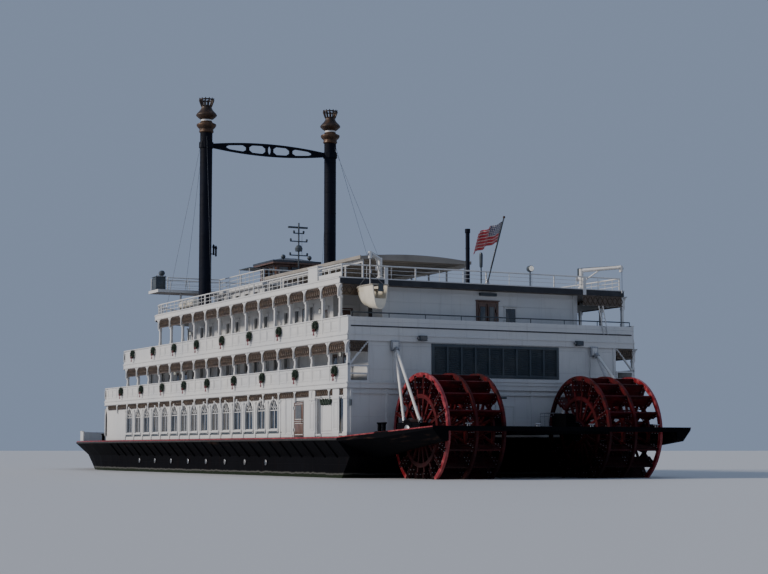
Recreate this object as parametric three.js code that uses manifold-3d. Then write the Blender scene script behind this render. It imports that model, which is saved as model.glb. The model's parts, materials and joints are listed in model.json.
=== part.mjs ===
// Twin-sternwheel lake showboat, a 1:10 scale model of an 84.7 m vessel.
// Sizes are the real vessel's, in metres: x to starboard, y forward from the aft end of the
// promenade decks, z up from the waterline. SCALE turns a real metre into model millimetres.

import * as THREE from 'three';
import { mergeVertices } from 'three/addons/utils/BufferGeometryUtils.js';
import Module from 'manifold-3d';

const wasm = await Module();
wasm.setup();

const SCALE = 100;
const SNAP = 100; // corners are rounded to 1/100 mm
const DRAFT = 2.1;
const STERN_END = -8.6;
const BOW_END = 76.1;
const GAP = 0.003; // 0.3 mm on the model, between faces that are cut or curved
const PORT = -1;
const STARBOARD = 1;
const SIDES = { port: PORT, starboard: STARBOARD };

// Hull sections from the flat bottom to the deck edge: height, half-breadth, aft end,
// end of the straight side and bow end
const HULL_ROWS = [
  { z: -DRAFT, half: 10.3, aft: 9.0, shoulder: 46, front: 58 },
  { z: -1.5, half: 10.95, aft: 6.6, shoulder: 47, front: 64 },
  { z: -0.3, half: 11.0, aft: 1.6, shoulder: 49, front: 69.5 },
  { z: 1.4, half: 11.0, aft: 0.12, shoulder: 50, front: 73.5 },
  { z: 2.45, half: 11.9, aft: 0.12, shoulder: 50, front: BOW_END },
  { z: 2.7, half: 11.9, aft: 0.12, shoulder: 50, front: BOW_END },
];
const TRANSOM = 0.12;
const MAIN_DECK = 2.7;
const GUARD_HALF = 11.9;

// Deck slabs: underside, top, half-breadth, aft edge, end of the straight side, front
const DECKS = {
  second: { bottom: 5.85, top: 6.25, half: 11.2, aft: 0, shoulder: 50.5, front: 58.5 },
  third: { bottom: 8.95, top: 9.4, half: 11.2, aft: 0, shoulder: 45.2, front: 53 },
  roof: { bottom: 12.75, top: 13.2, half: 11.2, aft: 1.2, shoulder: 36.8, front: 44.8 },
};
const ROOF_TOP = DECKS.roof.top;

// Houses between the decks: floor, ceiling, half-breadth, aft face, end of the side, front,
// the corner from which the third one's aft wall steps forward to its sides,
// and their windows: first and last middle, pitch, width, sill, head and arched or square top
const HOUSES = {
  main: {
    floor: MAIN_DECK, ceiling: 5.85, half: 11.1, aft: TRANSOM, shoulder: 50.5, front: 58.3,
    window: { first: 12.4, last: 44.6, pitch: 2.3, width: 1.5, sill: 3.3, head: 5.4, arched: true },
  },
  second: {
    floor: 6.25, ceiling: 8.95, half: 9.7, aft: TRANSOM, shoulder: 42, front: 49.5,
    window: { first: 11.5, last: 40, pitch: 1.9, width: 0.7, sill: 6.75, head: 8.5, arched: false },
  },
  third: {
    floor: 9.4, ceiling: 12.75, half: 9.7, aft: 2.0, shoulder: 33, front: 39.5, corner: { x: 7.7, y: 5.5 },
    window: { first: 11.5, last: 31, pitch: 1.9, width: 0.7, sill: 9.95, head: 11.7, arched: false },
  },
};
const WALL = 0.15;

// Galleries along the deck edges: bulwark top, underside of the header under the deck above
const GALLERIES = {
  second: { rail: 7.35, header: 8.55, cover: DECKS.third },
  third: { rail: 10.5, header: 12.1, cover: DECKS.roof },
};
const BULWARK = 0.14;
const GALLERY_POST = 0.2;
const GALLERY_BAY = 2.75;
const END_RAIL = { bar: 0.1, thick: 0.1 };

// Paddle wheels
const WHEEL = {
  y: -4.0, z: 3.05, radius: 3.66, inner: 3.9, outer: 8.0, arms: 18,
  rim: 0.26, ringOut: 2.3, ringIn: 2.1, hub: 0.55, armWidth: 0.16, plate: 0.12,
  boardFrom: 2.62, boardTo: 3.6, boardThick: 0.1, shaft: 0.25, bore: 0.256,
};
const BEARING = { outerFace: 8.35, innerFace: 3.6, depth: 0.4, half: 0.5 };

// Cantilevered stern: outriggers outboard of the wheels, a platform between them, a beam behind. A row is
// an outrigger's section at y: its deck, its edge's half-breadth, the undersides of its edge and inner face
const OUTRIGGER_INNER = 8.5;
const OUTRIGGER_ROWS = [
  { y: TRANSOM - GAP, deck: MAIN_DECK, half: GUARD_HALF, edge: 2.42, keel: 1.3 },
  { y: -4.0, deck: 2.98, half: 10.85, edge: 2.6, keel: 1.9 },
  { y: STERN_END, deck: 3.3, half: 9.6, edge: 3.12, keel: 2.4 },
];
const PLATFORM = { half: 3.4, top: 3.3, bottom: 2.85 };
const BEAM = { forward: -8.25, bottom: 3.0 };
const PEDESTAL = { forward: -2.6, aft: -5.7, bottom: 2.4, top: 3.55, inner: 8.35, outer: 8.95 };
const STRUT = { topX: 7.8, topY: -0.07, topZ: 8.7, footX: 8.62, longY: -5.3, shortY: -3.0, radius: 0.1 };

const RUDDER = {
  x: 5.2, y: 1.5, ahead: 0.8, behind: 2.4, thick: 0.2, bottom: -1.95, top: -0.6,
  stock: 0.13, boss: 0.28, seat: -0.5,
};

const STACK = { x: 6.0, y: 39.9, radius: 0.54, foot: 0.62, crownFrom: 29.7, top: 32.6 };
// Crown of a stack: radius, and height over where the crown starts
const CROWN = [
  [0.62, 0.25], [0.85, 0.52], [0.85, 0.64], [0.6, 0.78], [0.5, 0.9], [0.5, 1.08], [0.68, 1.2], [0.9, 1.38],
  [0.9, 1.52], [0.7, 1.75], [0.48, 2.05], [0.44, 2.22], [0.6, 2.5], [0.64, 2.8],
];
// Openings of the spreader from its middle outwards, as shares of its reach
const SPREADER = {
  z: 28.5, depth: 0.85, thick: 0.16, openings: [[-0.025, 0.025], [0.065, 0.335], [0.385, 0.71]],
};

const TEXAS = { half: 3.9, aft: 31.5, front: 43.0, ceiling: 15.5 };
const BRIDGE = { top: 15.75, half: 4.3, aft: 31.0, front: 43.5, wingHalf: 9.9, wingAft: 41.0 };
const WING_POST = { x: 7.6, y: 41.6, radius: 0.09 };
const CONSOLE = { length: 0.85, aft: 41.5, front: 42.5, height: 1.1 };
const RAIL = { roof: 0.85, bridge: 1.05, bar: 0.08, bay: 5.4, inset: 0.2 };
const PILOTHOUSE = {
  y: 35.8, half: 1.75, wall: 0.12, sill: 16.6, head: 17.45, ceiling: 17.75, eave: 2.2, crest: 18.35,
};
const MAST = { y: 33.3, top: 21.2, radius: 0.07 };
const CANOPY = { half: 4.6, aft: 11.7, front: 29.7, edge: 15.8, thick: 0.16, camber: 0.28, bays: 6 };
const PIPE = { x: 3.4, y: 10.0, radius: 0.15, top: 18.2 };

const ENSIGN = { y: 1.27, top: 17.5, rake: 28, radius: 0.05, hoist: 1.5, fly: 2.3, cloth: 0.02 };
const DAVIT = { x: 8.0, y: 1.75, post: 0.15, head: 14.65, hookX: 9.85, hookY: -0.5, base: 0.26 };
const RESCUE = { keel: 10.85, gunwale: 12.45, aft: -2.0, front: 1.2, half: 0.66 };

const BOARDING = { aft: 7.2, front: 8.9, top: 5.2, leaf: 0.1, clear: 0.06, hinges: [3.1, 4.6] };
const AFT_DOOR = { middle: 0.4, leafWidth: 0.72, top: 11.9, leaf: 0.08, clear: 0.06, hinges: [9.9, 11.3] };
const HINGE = { radius: 0.05, proud: 0.045, strap: 0.2, thick: 0.03, height: 0.22 };
const LOUVRE = { half: 4.95, bottom: 6.7, top: 8.85, depth: 0.12, bars: 9 };
const FOREDECK = { from: 60.0, height: 0.9, thick: 0.14, inset: 0.35 };
const CAPSTAN = { y: 70.0, radius: 0.42, height: 1.0 };
const JACKSTAFF = { y: 75.0, radius: 0.07, top: 9.2 };

// Colours, roughness and metalness of the finishes
const FINISH = {
  white: new THREE.MeshStandardMaterial({ color: 0xdedcd8, roughness: 0.55, metalness: 0 }),
  hull: new THREE.MeshStandardMaterial({ color: 0x15161a, roughness: 0.5, metalness: 0 }),
  deck: new THREE.MeshStandardMaterial({ color: 0x9c9a94, roughness: 0.8, metalness: 0 }),
  red: new THREE.MeshStandardMaterial({ color: 0x8c1c1c, roughness: 0.5, metalness: 0 }),
  stack: new THREE.MeshStandardMaterial({ color: 0x101216, roughness: 0.4, metalness: 0.2 }),
  slate: new THREE.MeshStandardMaterial({ color: 0x27323c, roughness: 0.6, metalness: 0.1 }),
  wood: new THREE.MeshStandardMaterial({ color: 0x6b3c28, roughness: 0.6, metalness: 0 }),
  cream: new THREE.MeshStandardMaterial({ color: 0xe8e0c8, roughness: 0.5, metalness: 0 }),
  cloth: new THREE.MeshStandardMaterial({ color: 0xb8454a, roughness: 0.9, metalness: 0 }),
  steel: new THREE.MeshStandardMaterial({ color: 0x55585c, roughness: 0.5, metalness: 0.6 }),
};

const vessel = new THREE.Group();
vessel.position.set(0, -(STERN_END + BOW_END) / 2 * SCALE, DRAFT * SCALE);

function solid(geometry) {
  geometry.deleteAttribute('normal');
  geometry.deleteAttribute('uv');
  const merged = mergeVertices(geometry);
  const vertProperties = Float32Array.from(merged.attributes.position.array);
  const triVerts = Uint32Array.from(merged.index.array);
  return new wasm.Manifold(new wasm.Mesh({ numProp: 3, vertProperties, triVerts }));
}

function joined(solids) {
  return solids.reduce((whole, piece) => whole.add(piece));
}

function cut(body, tools) {
  return tools.reduce((rest, tool) => rest.subtract(tool), body);
}

function piece(name, body, finish) {
  const { vertProperties, triVerts, numProp } = body.getMesh();
  const corners = new Float32Array(vertProperties.length / numProp * 3);
  for (let i = 0; i < corners.length; i += 1) {
    const value = vertProperties[Math.floor(i / 3) * numProp + i % 3];
    corners[i] = Math.round(value * SCALE * SNAP) / SNAP;
  }
  const geometry = new THREE.BufferGeometry();
  geometry.setAttribute('position', new THREE.BufferAttribute(corners, 3));
  geometry.setIndex(new THREE.BufferAttribute(triVerts, 1));
  geometry.computeVertexNormals();
  const mesh = new THREE.Mesh(geometry, finish);
  mesh.name = name;
  vessel.add(mesh);
  return mesh;
}

// A box from three pairs of limits, each in either order
function box([x0, x1], [y0, y1], [z0, z1]) {
  const geometry = new THREE.BoxGeometry(Math.abs(x1 - x0), Math.abs(y1 - y0), Math.abs(z1 - z0));
  geometry.translate((x0 + x1) / 2, (y0 + y1) / 2, (z0 + z1) / 2);
  return solid(geometry);
}

function extrusion(shape, depth, curveSegments) {
  return new THREE.ExtrudeGeometry(shape, { depth, bevelEnabled: false, curveSegments });
}

// A plan outline in x and y carried up from z0 to z1
function prismZ(shape, [z0, z1], curveSegments = 10) {
  const geometry = extrusion(shape, z1 - z0, curveSegments);
  geometry.translate(0, 0, z0);
  return solid(geometry);
}

// A side outline in y and z carried across from x0 to x1
function prismX(shape, [x0, x1], curveSegments = 10) {
  const geometry = extrusion(shape, Math.abs(x1 - x0), curveSegments);
  const turn = new THREE.Matrix4().makeBasis(
    new THREE.Vector3(0, 1, 0), new THREE.Vector3(0, 0, 1), new THREE.Vector3(1, 0, 0));
  geometry.applyMatrix4(turn);
  geometry.translate(Math.min(x0, x1), 0, 0);
  return solid(geometry);
}

// A cross-section in x and z carried along from y0 to y1
function prismY(shape, [y0, y1], curveSegments = 10) {
  const geometry = extrusion(shape, y1 - y0, curveSegments);
  const turn = new THREE.Matrix4().makeBasis(
    new THREE.Vector3(1, 0, 0), new THREE.Vector3(0, 0, 1), new THREE.Vector3(0, -1, 0));
  geometry.applyMatrix4(turn);
  geometry.translate(0, y1, 0);
  return solid(geometry);
}

function polygon(points) {
  return new THREE.Shape(points.map(([a, b]) => new THREE.Vector2(a, b)));
}

// A round bar between two points
function bar(from, to, radius, sides = 8) {
  const a = new THREE.Vector3(...from);
  const b = new THREE.Vector3(...to);
  const along = b.clone().sub(a);
  const geometry = new THREE.CylinderGeometry(radius, radius, along.length(), sides);
  const up = new THREE.Vector3(0, 1, 0);
  geometry.applyQuaternion(new THREE.Quaternion().setFromUnitVectors(up, along.normalize()));
  geometry.translate((a.x + b.x) / 2, (a.y + b.y) / 2, (a.z + b.z) / 2);
  return solid(geometry);
}

// A turned shape about a vertical axis, from rows of radius and height
function turned(x, y, rows, sides = 12) {
  const profile = rows.map(([radius, z]) => new THREE.Vector2(radius, z));
  const geometry = new THREE.LatheGeometry(profile, sides);
  geometry.rotateX(Math.PI / 2);
  geometry.translate(x, y, 0);
  return solid(geometry);
}

// Convex rings of equal count joined into one closed body, with flat ends
function loft(rings) {
  const count = rings[0].length;
  const corners = rings.flat();
  const faces = [];
  for (let ring = 0; ring + 1 < rings.length; ring += 1) {
    for (let i = 0; i < count; i += 1) {
      const a = ring * count + i;
      const b = ring * count + (i + 1) % count;
      faces.push(a, b, b + count, a, b + count, a + count);
    }
  }
  const last = (rings.length - 1) * count;
  for (let i = 1; i + 1 < count; i += 1) {
    faces.push(0, i + 1, i);
    faces.push(last, last + i, last + i + 1);
  }
  const geometry = new THREE.BufferGeometry();
  geometry.setAttribute('position', new THREE.Float32BufferAttribute(corners.flat(), 3));
  geometry.setIndex(faces);
  return solid(geometry);
}

// A deck plan as points: square aft, straight sides and a half-ellipse in front
function planPoints({ half, aft, shoulder, front }, steps = 20) {
  const points = [[-half, aft], [half, aft]];
  for (let i = 0; i <= steps; i += 1) {
    const angle = i / steps * Math.PI;
    points.push([half * Math.cos(angle), shoulder + (front - shoulder) * Math.sin(angle)]);
  }
  return points;
}

// Half of a wall's plan: straight side from the aft end, then a quarter-ellipse to the middle line
function halfWallShape(side, { half, aft, shoulder, front }, thick, steps = 8) {
  const outer = [[side * half, aft]];
  const inner = [[side * (half - thick), aft]];
  for (let i = 0; i <= steps; i += 1) {
    const angle = i / steps * Math.PI / 2;
    const reach = front - shoulder;
    outer.push([side * half * Math.cos(angle), shoulder + reach * Math.sin(angle)]);
    inner.push([side * (half - thick) * Math.cos(angle), shoulder + (reach - thick) * Math.sin(angle)]);
  }
  return polygon([...outer, ...inner.reverse()]);
}

function windowShape(middle, width, sill, head, arched) {
  const shape = new THREE.Shape();
  shape.moveTo(middle - width / 2, sill);
  shape.lineTo(middle + width / 2, sill);
  if (arched) {
    shape.absarc(middle, head - width / 2, width / 2, 0, Math.PI, false);
  } else {
    shape.lineTo(middle + width / 2, head);
    shape.lineTo(middle - width / 2, head);
  }
  shape.closePath();
  return shape;
}

// Hull with raked stern, spoon bow, guard all round and the bosses that the rudder stocks turn in
function hull() {
  const rings = HULL_ROWS.map((row) => planPoints(row).map(([x, y]) => [x, y, row.z]));
  const bosses = Object.values(SIDES).map((side) => turned(side * RUDDER.x, RUDDER.y, [
    [0, RUDDER.seat], [RUDDER.boss, RUDDER.seat], [RUDDER.boss, 0.8], [0, 0.8],
  ], 12));
  piece('hull', joined([loft(rings), ...bosses]), FINISH.hull);
}

function decks() {
  for (const [name, deck] of Object.entries(DECKS)) {
    const slab = prismZ(polygon(planPoints(deck)), [deck.bottom, deck.top]);
    piece(`${name}_deck`, slab, name === 'roof' ? FINISH.deck : FINISH.white);
  }
}

// Side walls with their windows; each turns at the front to meet the other on the middle line
function houseSides() {
  for (const [level, house] of Object.entries(HOUSES)) {
    const { window } = house;
    const count = Math.round((window.last - window.first) / window.pitch) + 1;
    const aft = (house.corner ? house.corner.y : house.aft) + WALL + GAP;
    for (const [sideName, side] of Object.entries(SIDES)) {
      const shape = halfWallShape(side, { ...house, aft }, WALL);
      let wall = prismZ(shape, [house.floor, house.ceiling]);
      const across = [side * (house.half - 0.5), side * (house.half + 0.5)];
      const holes = Array.from({ length: count }, (_, i) => prismX(
        windowShape(window.first + i * window.pitch, window.width, window.sill, window.head,
          window.arched), across, 2));
      if (level === 'main') {
        holes.push(box(across, [BOARDING.aft, BOARDING.front], [house.floor - 0.1, BOARDING.top]));
      }
      const middle = side === STARBOARD ? [-0.5, GAP / 2] : [-GAP / 2, 0.5];
      holes.push(box(middle, [house.shoulder, house.front + 1], [house.floor - 1, house.ceiling + 1]));
      wall = cut(wall, holes);
      piece(`${level}_wall_${sideName}`, wall, FINISH.white);
    }
  }
}

// Plan of a wall across the stern; from a corner it turns forward, then out to the side walls
function aftWallShape({ half, aft, corner }) {
  if (!corner) {
    return polygon([[-half, aft], [half, aft], [half, aft + WALL], [-half, aft + WALL]]);
  }
  const right = [
    [corner.x, aft], [corner.x, corner.y], [half, corner.y], [half, corner.y + WALL],
    [corner.x - WALL, corner.y + WALL], [corner.x - WALL, aft + WALL],
  ];
  const left = right.map(([x, y]) => [-x, y]).reverse();
  return polygon([...right, ...left]);
}

function aftWalls() {
  for (const [level, house] of Object.entries(HOUSES)) {
    const holes = [];
    if (level === 'second') {
      holes.push(box([-LOUVRE.half, LOUVRE.half], [-1, 1], [LOUVRE.bottom, LOUVRE.top]));
    }
    if (level === 'third') {
      const reach = AFT_DOOR.leafWidth + AFT_DOOR.clear / 2;
      holes.push(box([AFT_DOOR.middle - reach, AFT_DOOR.middle + reach], [house.aft - 1, house.aft + 1],
        [house.floor - 1, AFT_DOOR.top + AFT_DOOR.clear]));
    }
    const wall = prismZ(aftWallShape(house), [house.floor, house.ceiling]);
    piece(`${level}_wall_aft`, cut(wall, holes), FINISH.white);
  }
}

// Rail across the aft end of the second gallery: a frame with two openings between three bars
function endRail(side, deck, top) {
  const inner = HOUSES.second.half + GAP;
  const frame = box([side * inner, side * deck.half], [deck.aft, deck.aft + END_RAIL.thick], [deck.top, top]);
  const opening = (top - deck.top - 3 * END_RAIL.bar) / 2;
  const holes = [0, 1].map((row) => {
    const low = deck.top + END_RAIL.bar + row * (opening + END_RAIL.bar);
    return box([side * (inner + END_RAIL.bar), side * (deck.half - GALLERY_POST)],
      [deck.aft - 1, deck.aft + 1], [low, low + opening]);
  });
  return cut(frame, holes);
}

// Bulwark along the deck edge, with posts and a header under the deck above on the straight side
function galleries() {
  for (const [level, gallery] of Object.entries(GALLERIES)) {
    const deck = DECKS[level];
    for (const [sideName, side] of Object.entries(SIDES)) {
      const shape = halfWallShape(side, deck, BULWARK);
      const low = prismZ(shape, [deck.top, gallery.rail]);
      const start = Math.max(deck.aft, gallery.cover.aft);
      const end = gallery.cover.shoulder;
      const bays = Math.round((end - start) / GALLERY_BAY);
      const pitch = (end - start - GALLERY_POST) / bays;
      const panel = box([side * (deck.half - BULWARK), side * deck.half], [start, end],
        [deck.top, gallery.cover.bottom]);
      const openings = Array.from({ length: bays }, (_, i) => {
        const left = start + GALLERY_POST + i * pitch;
        return box([side * (deck.half - 1), side * (deck.half + 1)], [left, left + pitch - GALLERY_POST],
          [gallery.rail, gallery.header]);
      });
      const screen = cut(panel, openings);
      const middle = side === STARBOARD ? [-0.5, GAP / 2] : [-GAP / 2, 0.5];
      const split = box(middle, [deck.shoulder, deck.front + 1], [deck.top - 1, gallery.rail + 1]);
      const parts = [low, screen];
      if (level === 'second') {
        parts.push(endRail(side, deck, gallery.rail));
      }
      piece(`${level}_gallery_${sideName}`, cut(joined(parts), [split]), FINISH.white);
    }
  }
  const third = DECKS.third;
  const reach = third.half - BULWARK - GAP;
  piece('third_gallery_aft', box([-reach, reach], [third.aft, third.aft + BULWARK],
    [third.top, GALLERIES.third.rail]), FINISH.white);
}

// Slatted bank in the transom, in a frame that fills its opening
function aftLouvre() {
  const reach = LOUVRE.half - GAP;
  const front = TRANSOM + WALL;
  const frame = box([-reach, reach], [front - LOUVRE.depth, front], [LOUVRE.bottom + GAP, LOUVRE.top - GAP]);
  const pitch = (2 * reach - 0.2) / LOUVRE.bars;
  const panes = Array.from({ length: LOUVRE.bars }, (_, i) => box(
    [-reach + 0.2 + i * pitch, -reach + i * pitch + pitch],
    [front - LOUVRE.depth - 1, front - LOUVRE.depth + 0.05],
    [LOUVRE.bottom + 0.2, LOUVRE.top - 0.2]));
  piece('aft_louvre', cut(frame, panes), FINISH.slate);
}

// One paddle wheel: three spoked frames on a shaft, with a board at each arm
function paddleWheel(sideName, side) {
  const { arms, radius, hub, armWidth } = WHEEL;
  const step = 2 * Math.PI / arms;
  const at = (r, angle) => [WHEEL.y + r * Math.cos(angle), WHEEL.z + r * Math.sin(angle)];
  const outline = polygon(Array.from({ length: arms * 2 }, (_, i) => at(radius, i * step / 2)));
  const cells = [];
  for (let i = 0; i < arms; i += 1) {
    const from = i * step;
    const to = from + step;
    for (const [near, far] of [[hub, WHEEL.ringIn], [WHEEL.ringOut, radius - WHEEL.rim]]) {
      const nearTurn = Math.asin(armWidth / 2 / near);
      const farTurn = Math.asin(armWidth / 2 / far);
      const points = [
        at(near, from + nearTurn), at(far, from + farTurn), at(far, to - farTurn), at(near, to - nearTurn),
      ];
      cells.push(prismX(polygon(points), [side * (WHEEL.inner - 1), side * (WHEEL.outer + 1)]));
    }
  }
  const middle = (WHEEL.inner + WHEEL.outer) / 2;
  const plates = [WHEEL.inner, middle - WHEEL.plate / 2, WHEEL.outer - WHEEL.plate].map(
    (x) => prismX(outline, [side * x, side * (x + WHEEL.plate)]));
  const frames = cut(joined(plates), cells);
  const boards = Array.from({ length: arms }, (_, i) => {
    const geometry = new THREE.BoxGeometry(WHEEL.outer - WHEEL.inner - WHEEL.plate,
      WHEEL.boardTo - WHEEL.boardFrom, WHEEL.boardThick);
    geometry.translate(0, (WHEEL.boardFrom + WHEEL.boardTo) / 2, 0);
    geometry.rotateX(i * step);
    geometry.translate(side * middle, WHEEL.y, WHEEL.z);
    return solid(geometry);
  });
  const shaft = bar([side * (BEARING.innerFace - 0.25), WHEEL.y, WHEEL.z],
    [side * (BEARING.outerFace + 0.25), WHEEL.y, WHEEL.z], WHEEL.shaft, 12);
  piece(`wheel_${sideName}`, joined([frames, ...boards, shaft]), FINISH.red);
}

function shaftBore(x0, x1) {
  return bar([x0, WHEEL.y, WHEEL.z], [x1, WHEEL.y, WHEEL.z], WHEEL.bore, 24);
}

// Outrigger: a wing that narrows, thins and rises aft, with the pedestal that holds the outer bearing
function outrigger(sideName, side) {
  const rings = OUTRIGGER_ROWS.map(({ y, deck, half, edge, keel }) => [
    [side * OUTRIGGER_INNER, y, keel], [side * (OUTRIGGER_INNER + 0.5), y, keel],
    [side * half, y, edge], [side * half, y, deck], [side * OUTRIGGER_INNER, y, deck],
  ]);
  const body = loft(side === STARBOARD ? rings : rings.map((ring) => ring.reverse()));
  const pedestal = box([side * PEDESTAL.inner, side * PEDESTAL.outer], [PEDESTAL.aft, PEDESTAL.forward],
    [PEDESTAL.bottom, PEDESTAL.top]);
  const bore = shaftBore(side * (BEARING.outerFace - 0.1), side * (BEARING.outerFace + BEARING.depth));
  piece(`outrigger_${sideName}`, cut(body.add(pedestal), [bore]), FINISH.hull);
}

// Platform between the wheels with both inner bearings, and the beam behind them
function sternPlatform() {
  const deck = box([-PLATFORM.half, PLATFORM.half], [BEAM.forward - 0.1, TRANSOM - GAP],
    [PLATFORM.bottom, PLATFORM.top]);
  const reach = OUTRIGGER_INNER - GAP;
  const beam = box([-reach, reach], [STERN_END, BEAM.forward], [BEAM.bottom, PLATFORM.top]);
  const blocks = Object.values(SIDES).map((side) => box(
    [side * (BEARING.innerFace - 0.6), side * BEARING.innerFace],
    [WHEEL.y - BEARING.half, WHEEL.y + BEARING.half], [2.45, 3.65]));
  const bores = Object.values(SIDES).map((side) => shaftBore(
    side * (BEARING.innerFace - BEARING.depth), side * (BEARING.innerFace + 0.1)));
  piece('stern_platform', cut(joined([deck, beam, ...blocks]), bores), FINISH.hull);
}

// Two inclined struts from one bracket on the transom to the outrigger's pedestal
function struts(sideName, side) {
  const top = [side * STRUT.topX, STRUT.topY, STRUT.topZ];
  const foot = (y) => [side * STRUT.footX, y, PEDESTAL.top - 0.2];
  const bracket = box([side * (STRUT.topX - 0.2), side * (STRUT.topX + 0.2)],
    [TRANSOM - GAP, STRUT.topY - 0.1], [STRUT.topZ - 0.3, STRUT.topZ + 0.2]);
  const bars = [STRUT.longY, STRUT.shortY].map((y) => bar(top, foot(y), STRUT.radius));
  const below = box([side * 8, side * 9.5], [-7, 0], [PEDESTAL.top - 1, PEDESTAL.top + GAP]);
  const behind = box([side * 7, side * 9], [TRANSOM - GAP, 1], [8, 10]);
  piece(`struts_${sideName}`, cut(joined([bracket, ...bars]), [below, behind]), FINISH.white);
}

function rudder(sideName, side) {
  const x = side * RUDDER.x;
  const half = RUDDER.thick / 2;
  const foil = polygon([
    [x, RUDDER.y + RUDDER.ahead], [x - half, RUDDER.y + RUDDER.ahead / 2], [x - half, RUDDER.y - 0.6],
    [x - 0.02, RUDDER.y - RUDDER.behind], [x + 0.02, RUDDER.y - RUDDER.behind],
    [x + half, RUDDER.y - 0.6], [x + half, RUDDER.y + RUDDER.ahead / 2],
  ]);
  const blade = prismZ(foil, [RUDDER.bottom, RUDDER.top]);
  const stock = turned(x, RUDDER.y, [
    [0, RUDDER.bottom + 0.2], [RUDDER.stock, RUDDER.bottom + 0.2],
    [RUDDER.stock, RUDDER.seat - GAP], [0, RUDDER.seat - GAP],
  ], 12);
  piece(`rudder_${sideName}`, blade.add(stock), FINISH.hull);
}

// Chimney stack with a flared foot and a crown: a cup, a neck, a bulge and a coronet
function stack(sideName, side) {
  const { radius, foot, crownFrom, top } = STACK;
  const rows = [
    [0, ROOF_TOP], [foot, ROOF_TOP], [foot, ROOF_TOP + 0.6], [radius, ROOF_TOP + 0.75], [radius, crownFrom],
    ...CROWN.map(([out, rise]) => [out, crownFrom + rise]), [0.6, top], [0, top],
  ];
  piece(`stack_${sideName}`, turned(side * STACK.x, STACK.y, rows), FINISH.stack);
}

// Lens-shaped truss between the stacks, with long rounded openings and a collar round each stack
function spreader() {
  const reach = STACK.x - 0.2;
  const tube = 0.12;
  const rise = SPREADER.depth / 2;
  const lift = (x) => rise * (1 - (x / reach) ** 2);
  const xs = Array.from({ length: 13 }, (_, i) => (i / 6 - 1) * reach);
  const upper = xs.map((x) => [x, SPREADER.z + lift(x) + tube]);
  const lower = xs.map((x) => [x, SPREADER.z - lift(x) - tube]).reverse();
  const lens = polygon([...upper, ...lower]);
  const mirroredOpenings = SPREADER.openings.slice(1).map(([near, far]) => [-far, -near]);
  const cells = [...SPREADER.openings, ...mirroredOpenings].map(([from, to]) => {
    const [left, right] = [from * reach, to * reach];
    const corner = Math.min(0.3, (right - left) / 3);
    const edge = [[left, 0.4], [left + corner, 1], [(left + right) / 2, 1], [right - corner, 1], [right, 0.4]]
      .map(([x, share]) => [x, share * (lift(x) - tube / 2)]);
    const above = edge.map(([x, high]) => [x, SPREADER.z + high]);
    const below = edge.map(([x, high]) => [x, SPREADER.z - high]).reverse();
    return prismY(polygon([...above, ...below]), [STACK.y - 1, STACK.y + 1]);
  });
  const web = cut(prismY(lens, [STACK.y - SPREADER.thick / 2, STACK.y + SPREADER.thick / 2]), cells);
  const collars = Object.values(SIDES).map((side) => turned(side * STACK.x, STACK.y, [
    [0, SPREADER.z - 0.25], [STACK.radius + 0.1, SPREADER.z - 0.25],
    [STACK.radius + 0.1, SPREADER.z + 0.25], [0, SPREADER.z + 0.25],
  ]));
  const holes = Object.values(SIDES).map((side) => turned(side * STACK.x, STACK.y, [
    [0, SPREADER.z - 1], [STACK.radius + GAP, SPREADER.z - 1],
    [STACK.radius + GAP, SPREADER.z + 1], [0, SPREADER.z + 1],
  ]));
  piece('stack_spreader', cut(joined([web, ...collars]), holes), FINISH.stack);
}

// A rectangular ring of walls with windows cut on given pitches
function ringWalls(halfX, [y0, y1], [z0, z1], thick) {
  const outer = box([-halfX, halfX], [y0, y1], [z0, z1]);
  return outer.subtract(box([-halfX + thick, halfX - thick], [y0 + thick, y1 - thick], [z0 - 1, z1 + 1]));
}

function texasHouse() {
  const { half, aft, front, ceiling } = TEXAS;
  const walls = ringWalls(half, [aft, front], [ROOF_TOP, ceiling], WALL);
  const holes = [];
  for (let y = aft + 1.6; y < front - 1; y += 2.1) {
    holes.push(box([-half - 1, half + 1], [y - 0.45, y + 0.45], [ROOF_TOP + 0.9, ceiling - 0.4]));
  }
  piece('texas_house', cut(walls, holes), FINISH.white);
}

function bridgeDeck() {
  const plan = polygon([
    [-BRIDGE.half, BRIDGE.aft], [BRIDGE.half, BRIDGE.aft], [BRIDGE.half, BRIDGE.wingAft],
    [BRIDGE.wingHalf, BRIDGE.wingAft], [BRIDGE.wingHalf, BRIDGE.front],
    [-BRIDGE.wingHalf, BRIDGE.front], [-BRIDGE.wingHalf, BRIDGE.wingAft], [-BRIDGE.half, BRIDGE.wingAft],
  ]);
  const slab = prismZ(plan, [TEXAS.ceiling, BRIDGE.top]);
  const posts = Object.values(SIDES).map((side) => bar([side * WING_POST.x, WING_POST.y, ROOF_TOP],
    [side * WING_POST.x, WING_POST.y, BRIDGE.top - 0.05], WING_POST.radius));
  piece('bridge_deck', joined([slab, ...posts]), FINISH.white);
  for (const [sideName, side] of Object.entries(SIDES)) {
    piece(`wing_console_${sideName}`, box(
      [side * (BRIDGE.wingHalf - CONSOLE.length), side * BRIDGE.wingHalf],
      [CONSOLE.aft, CONSOLE.front], [BRIDGE.top, BRIDGE.top + CONSOLE.height]), FINISH.slate);
  }
}

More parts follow.
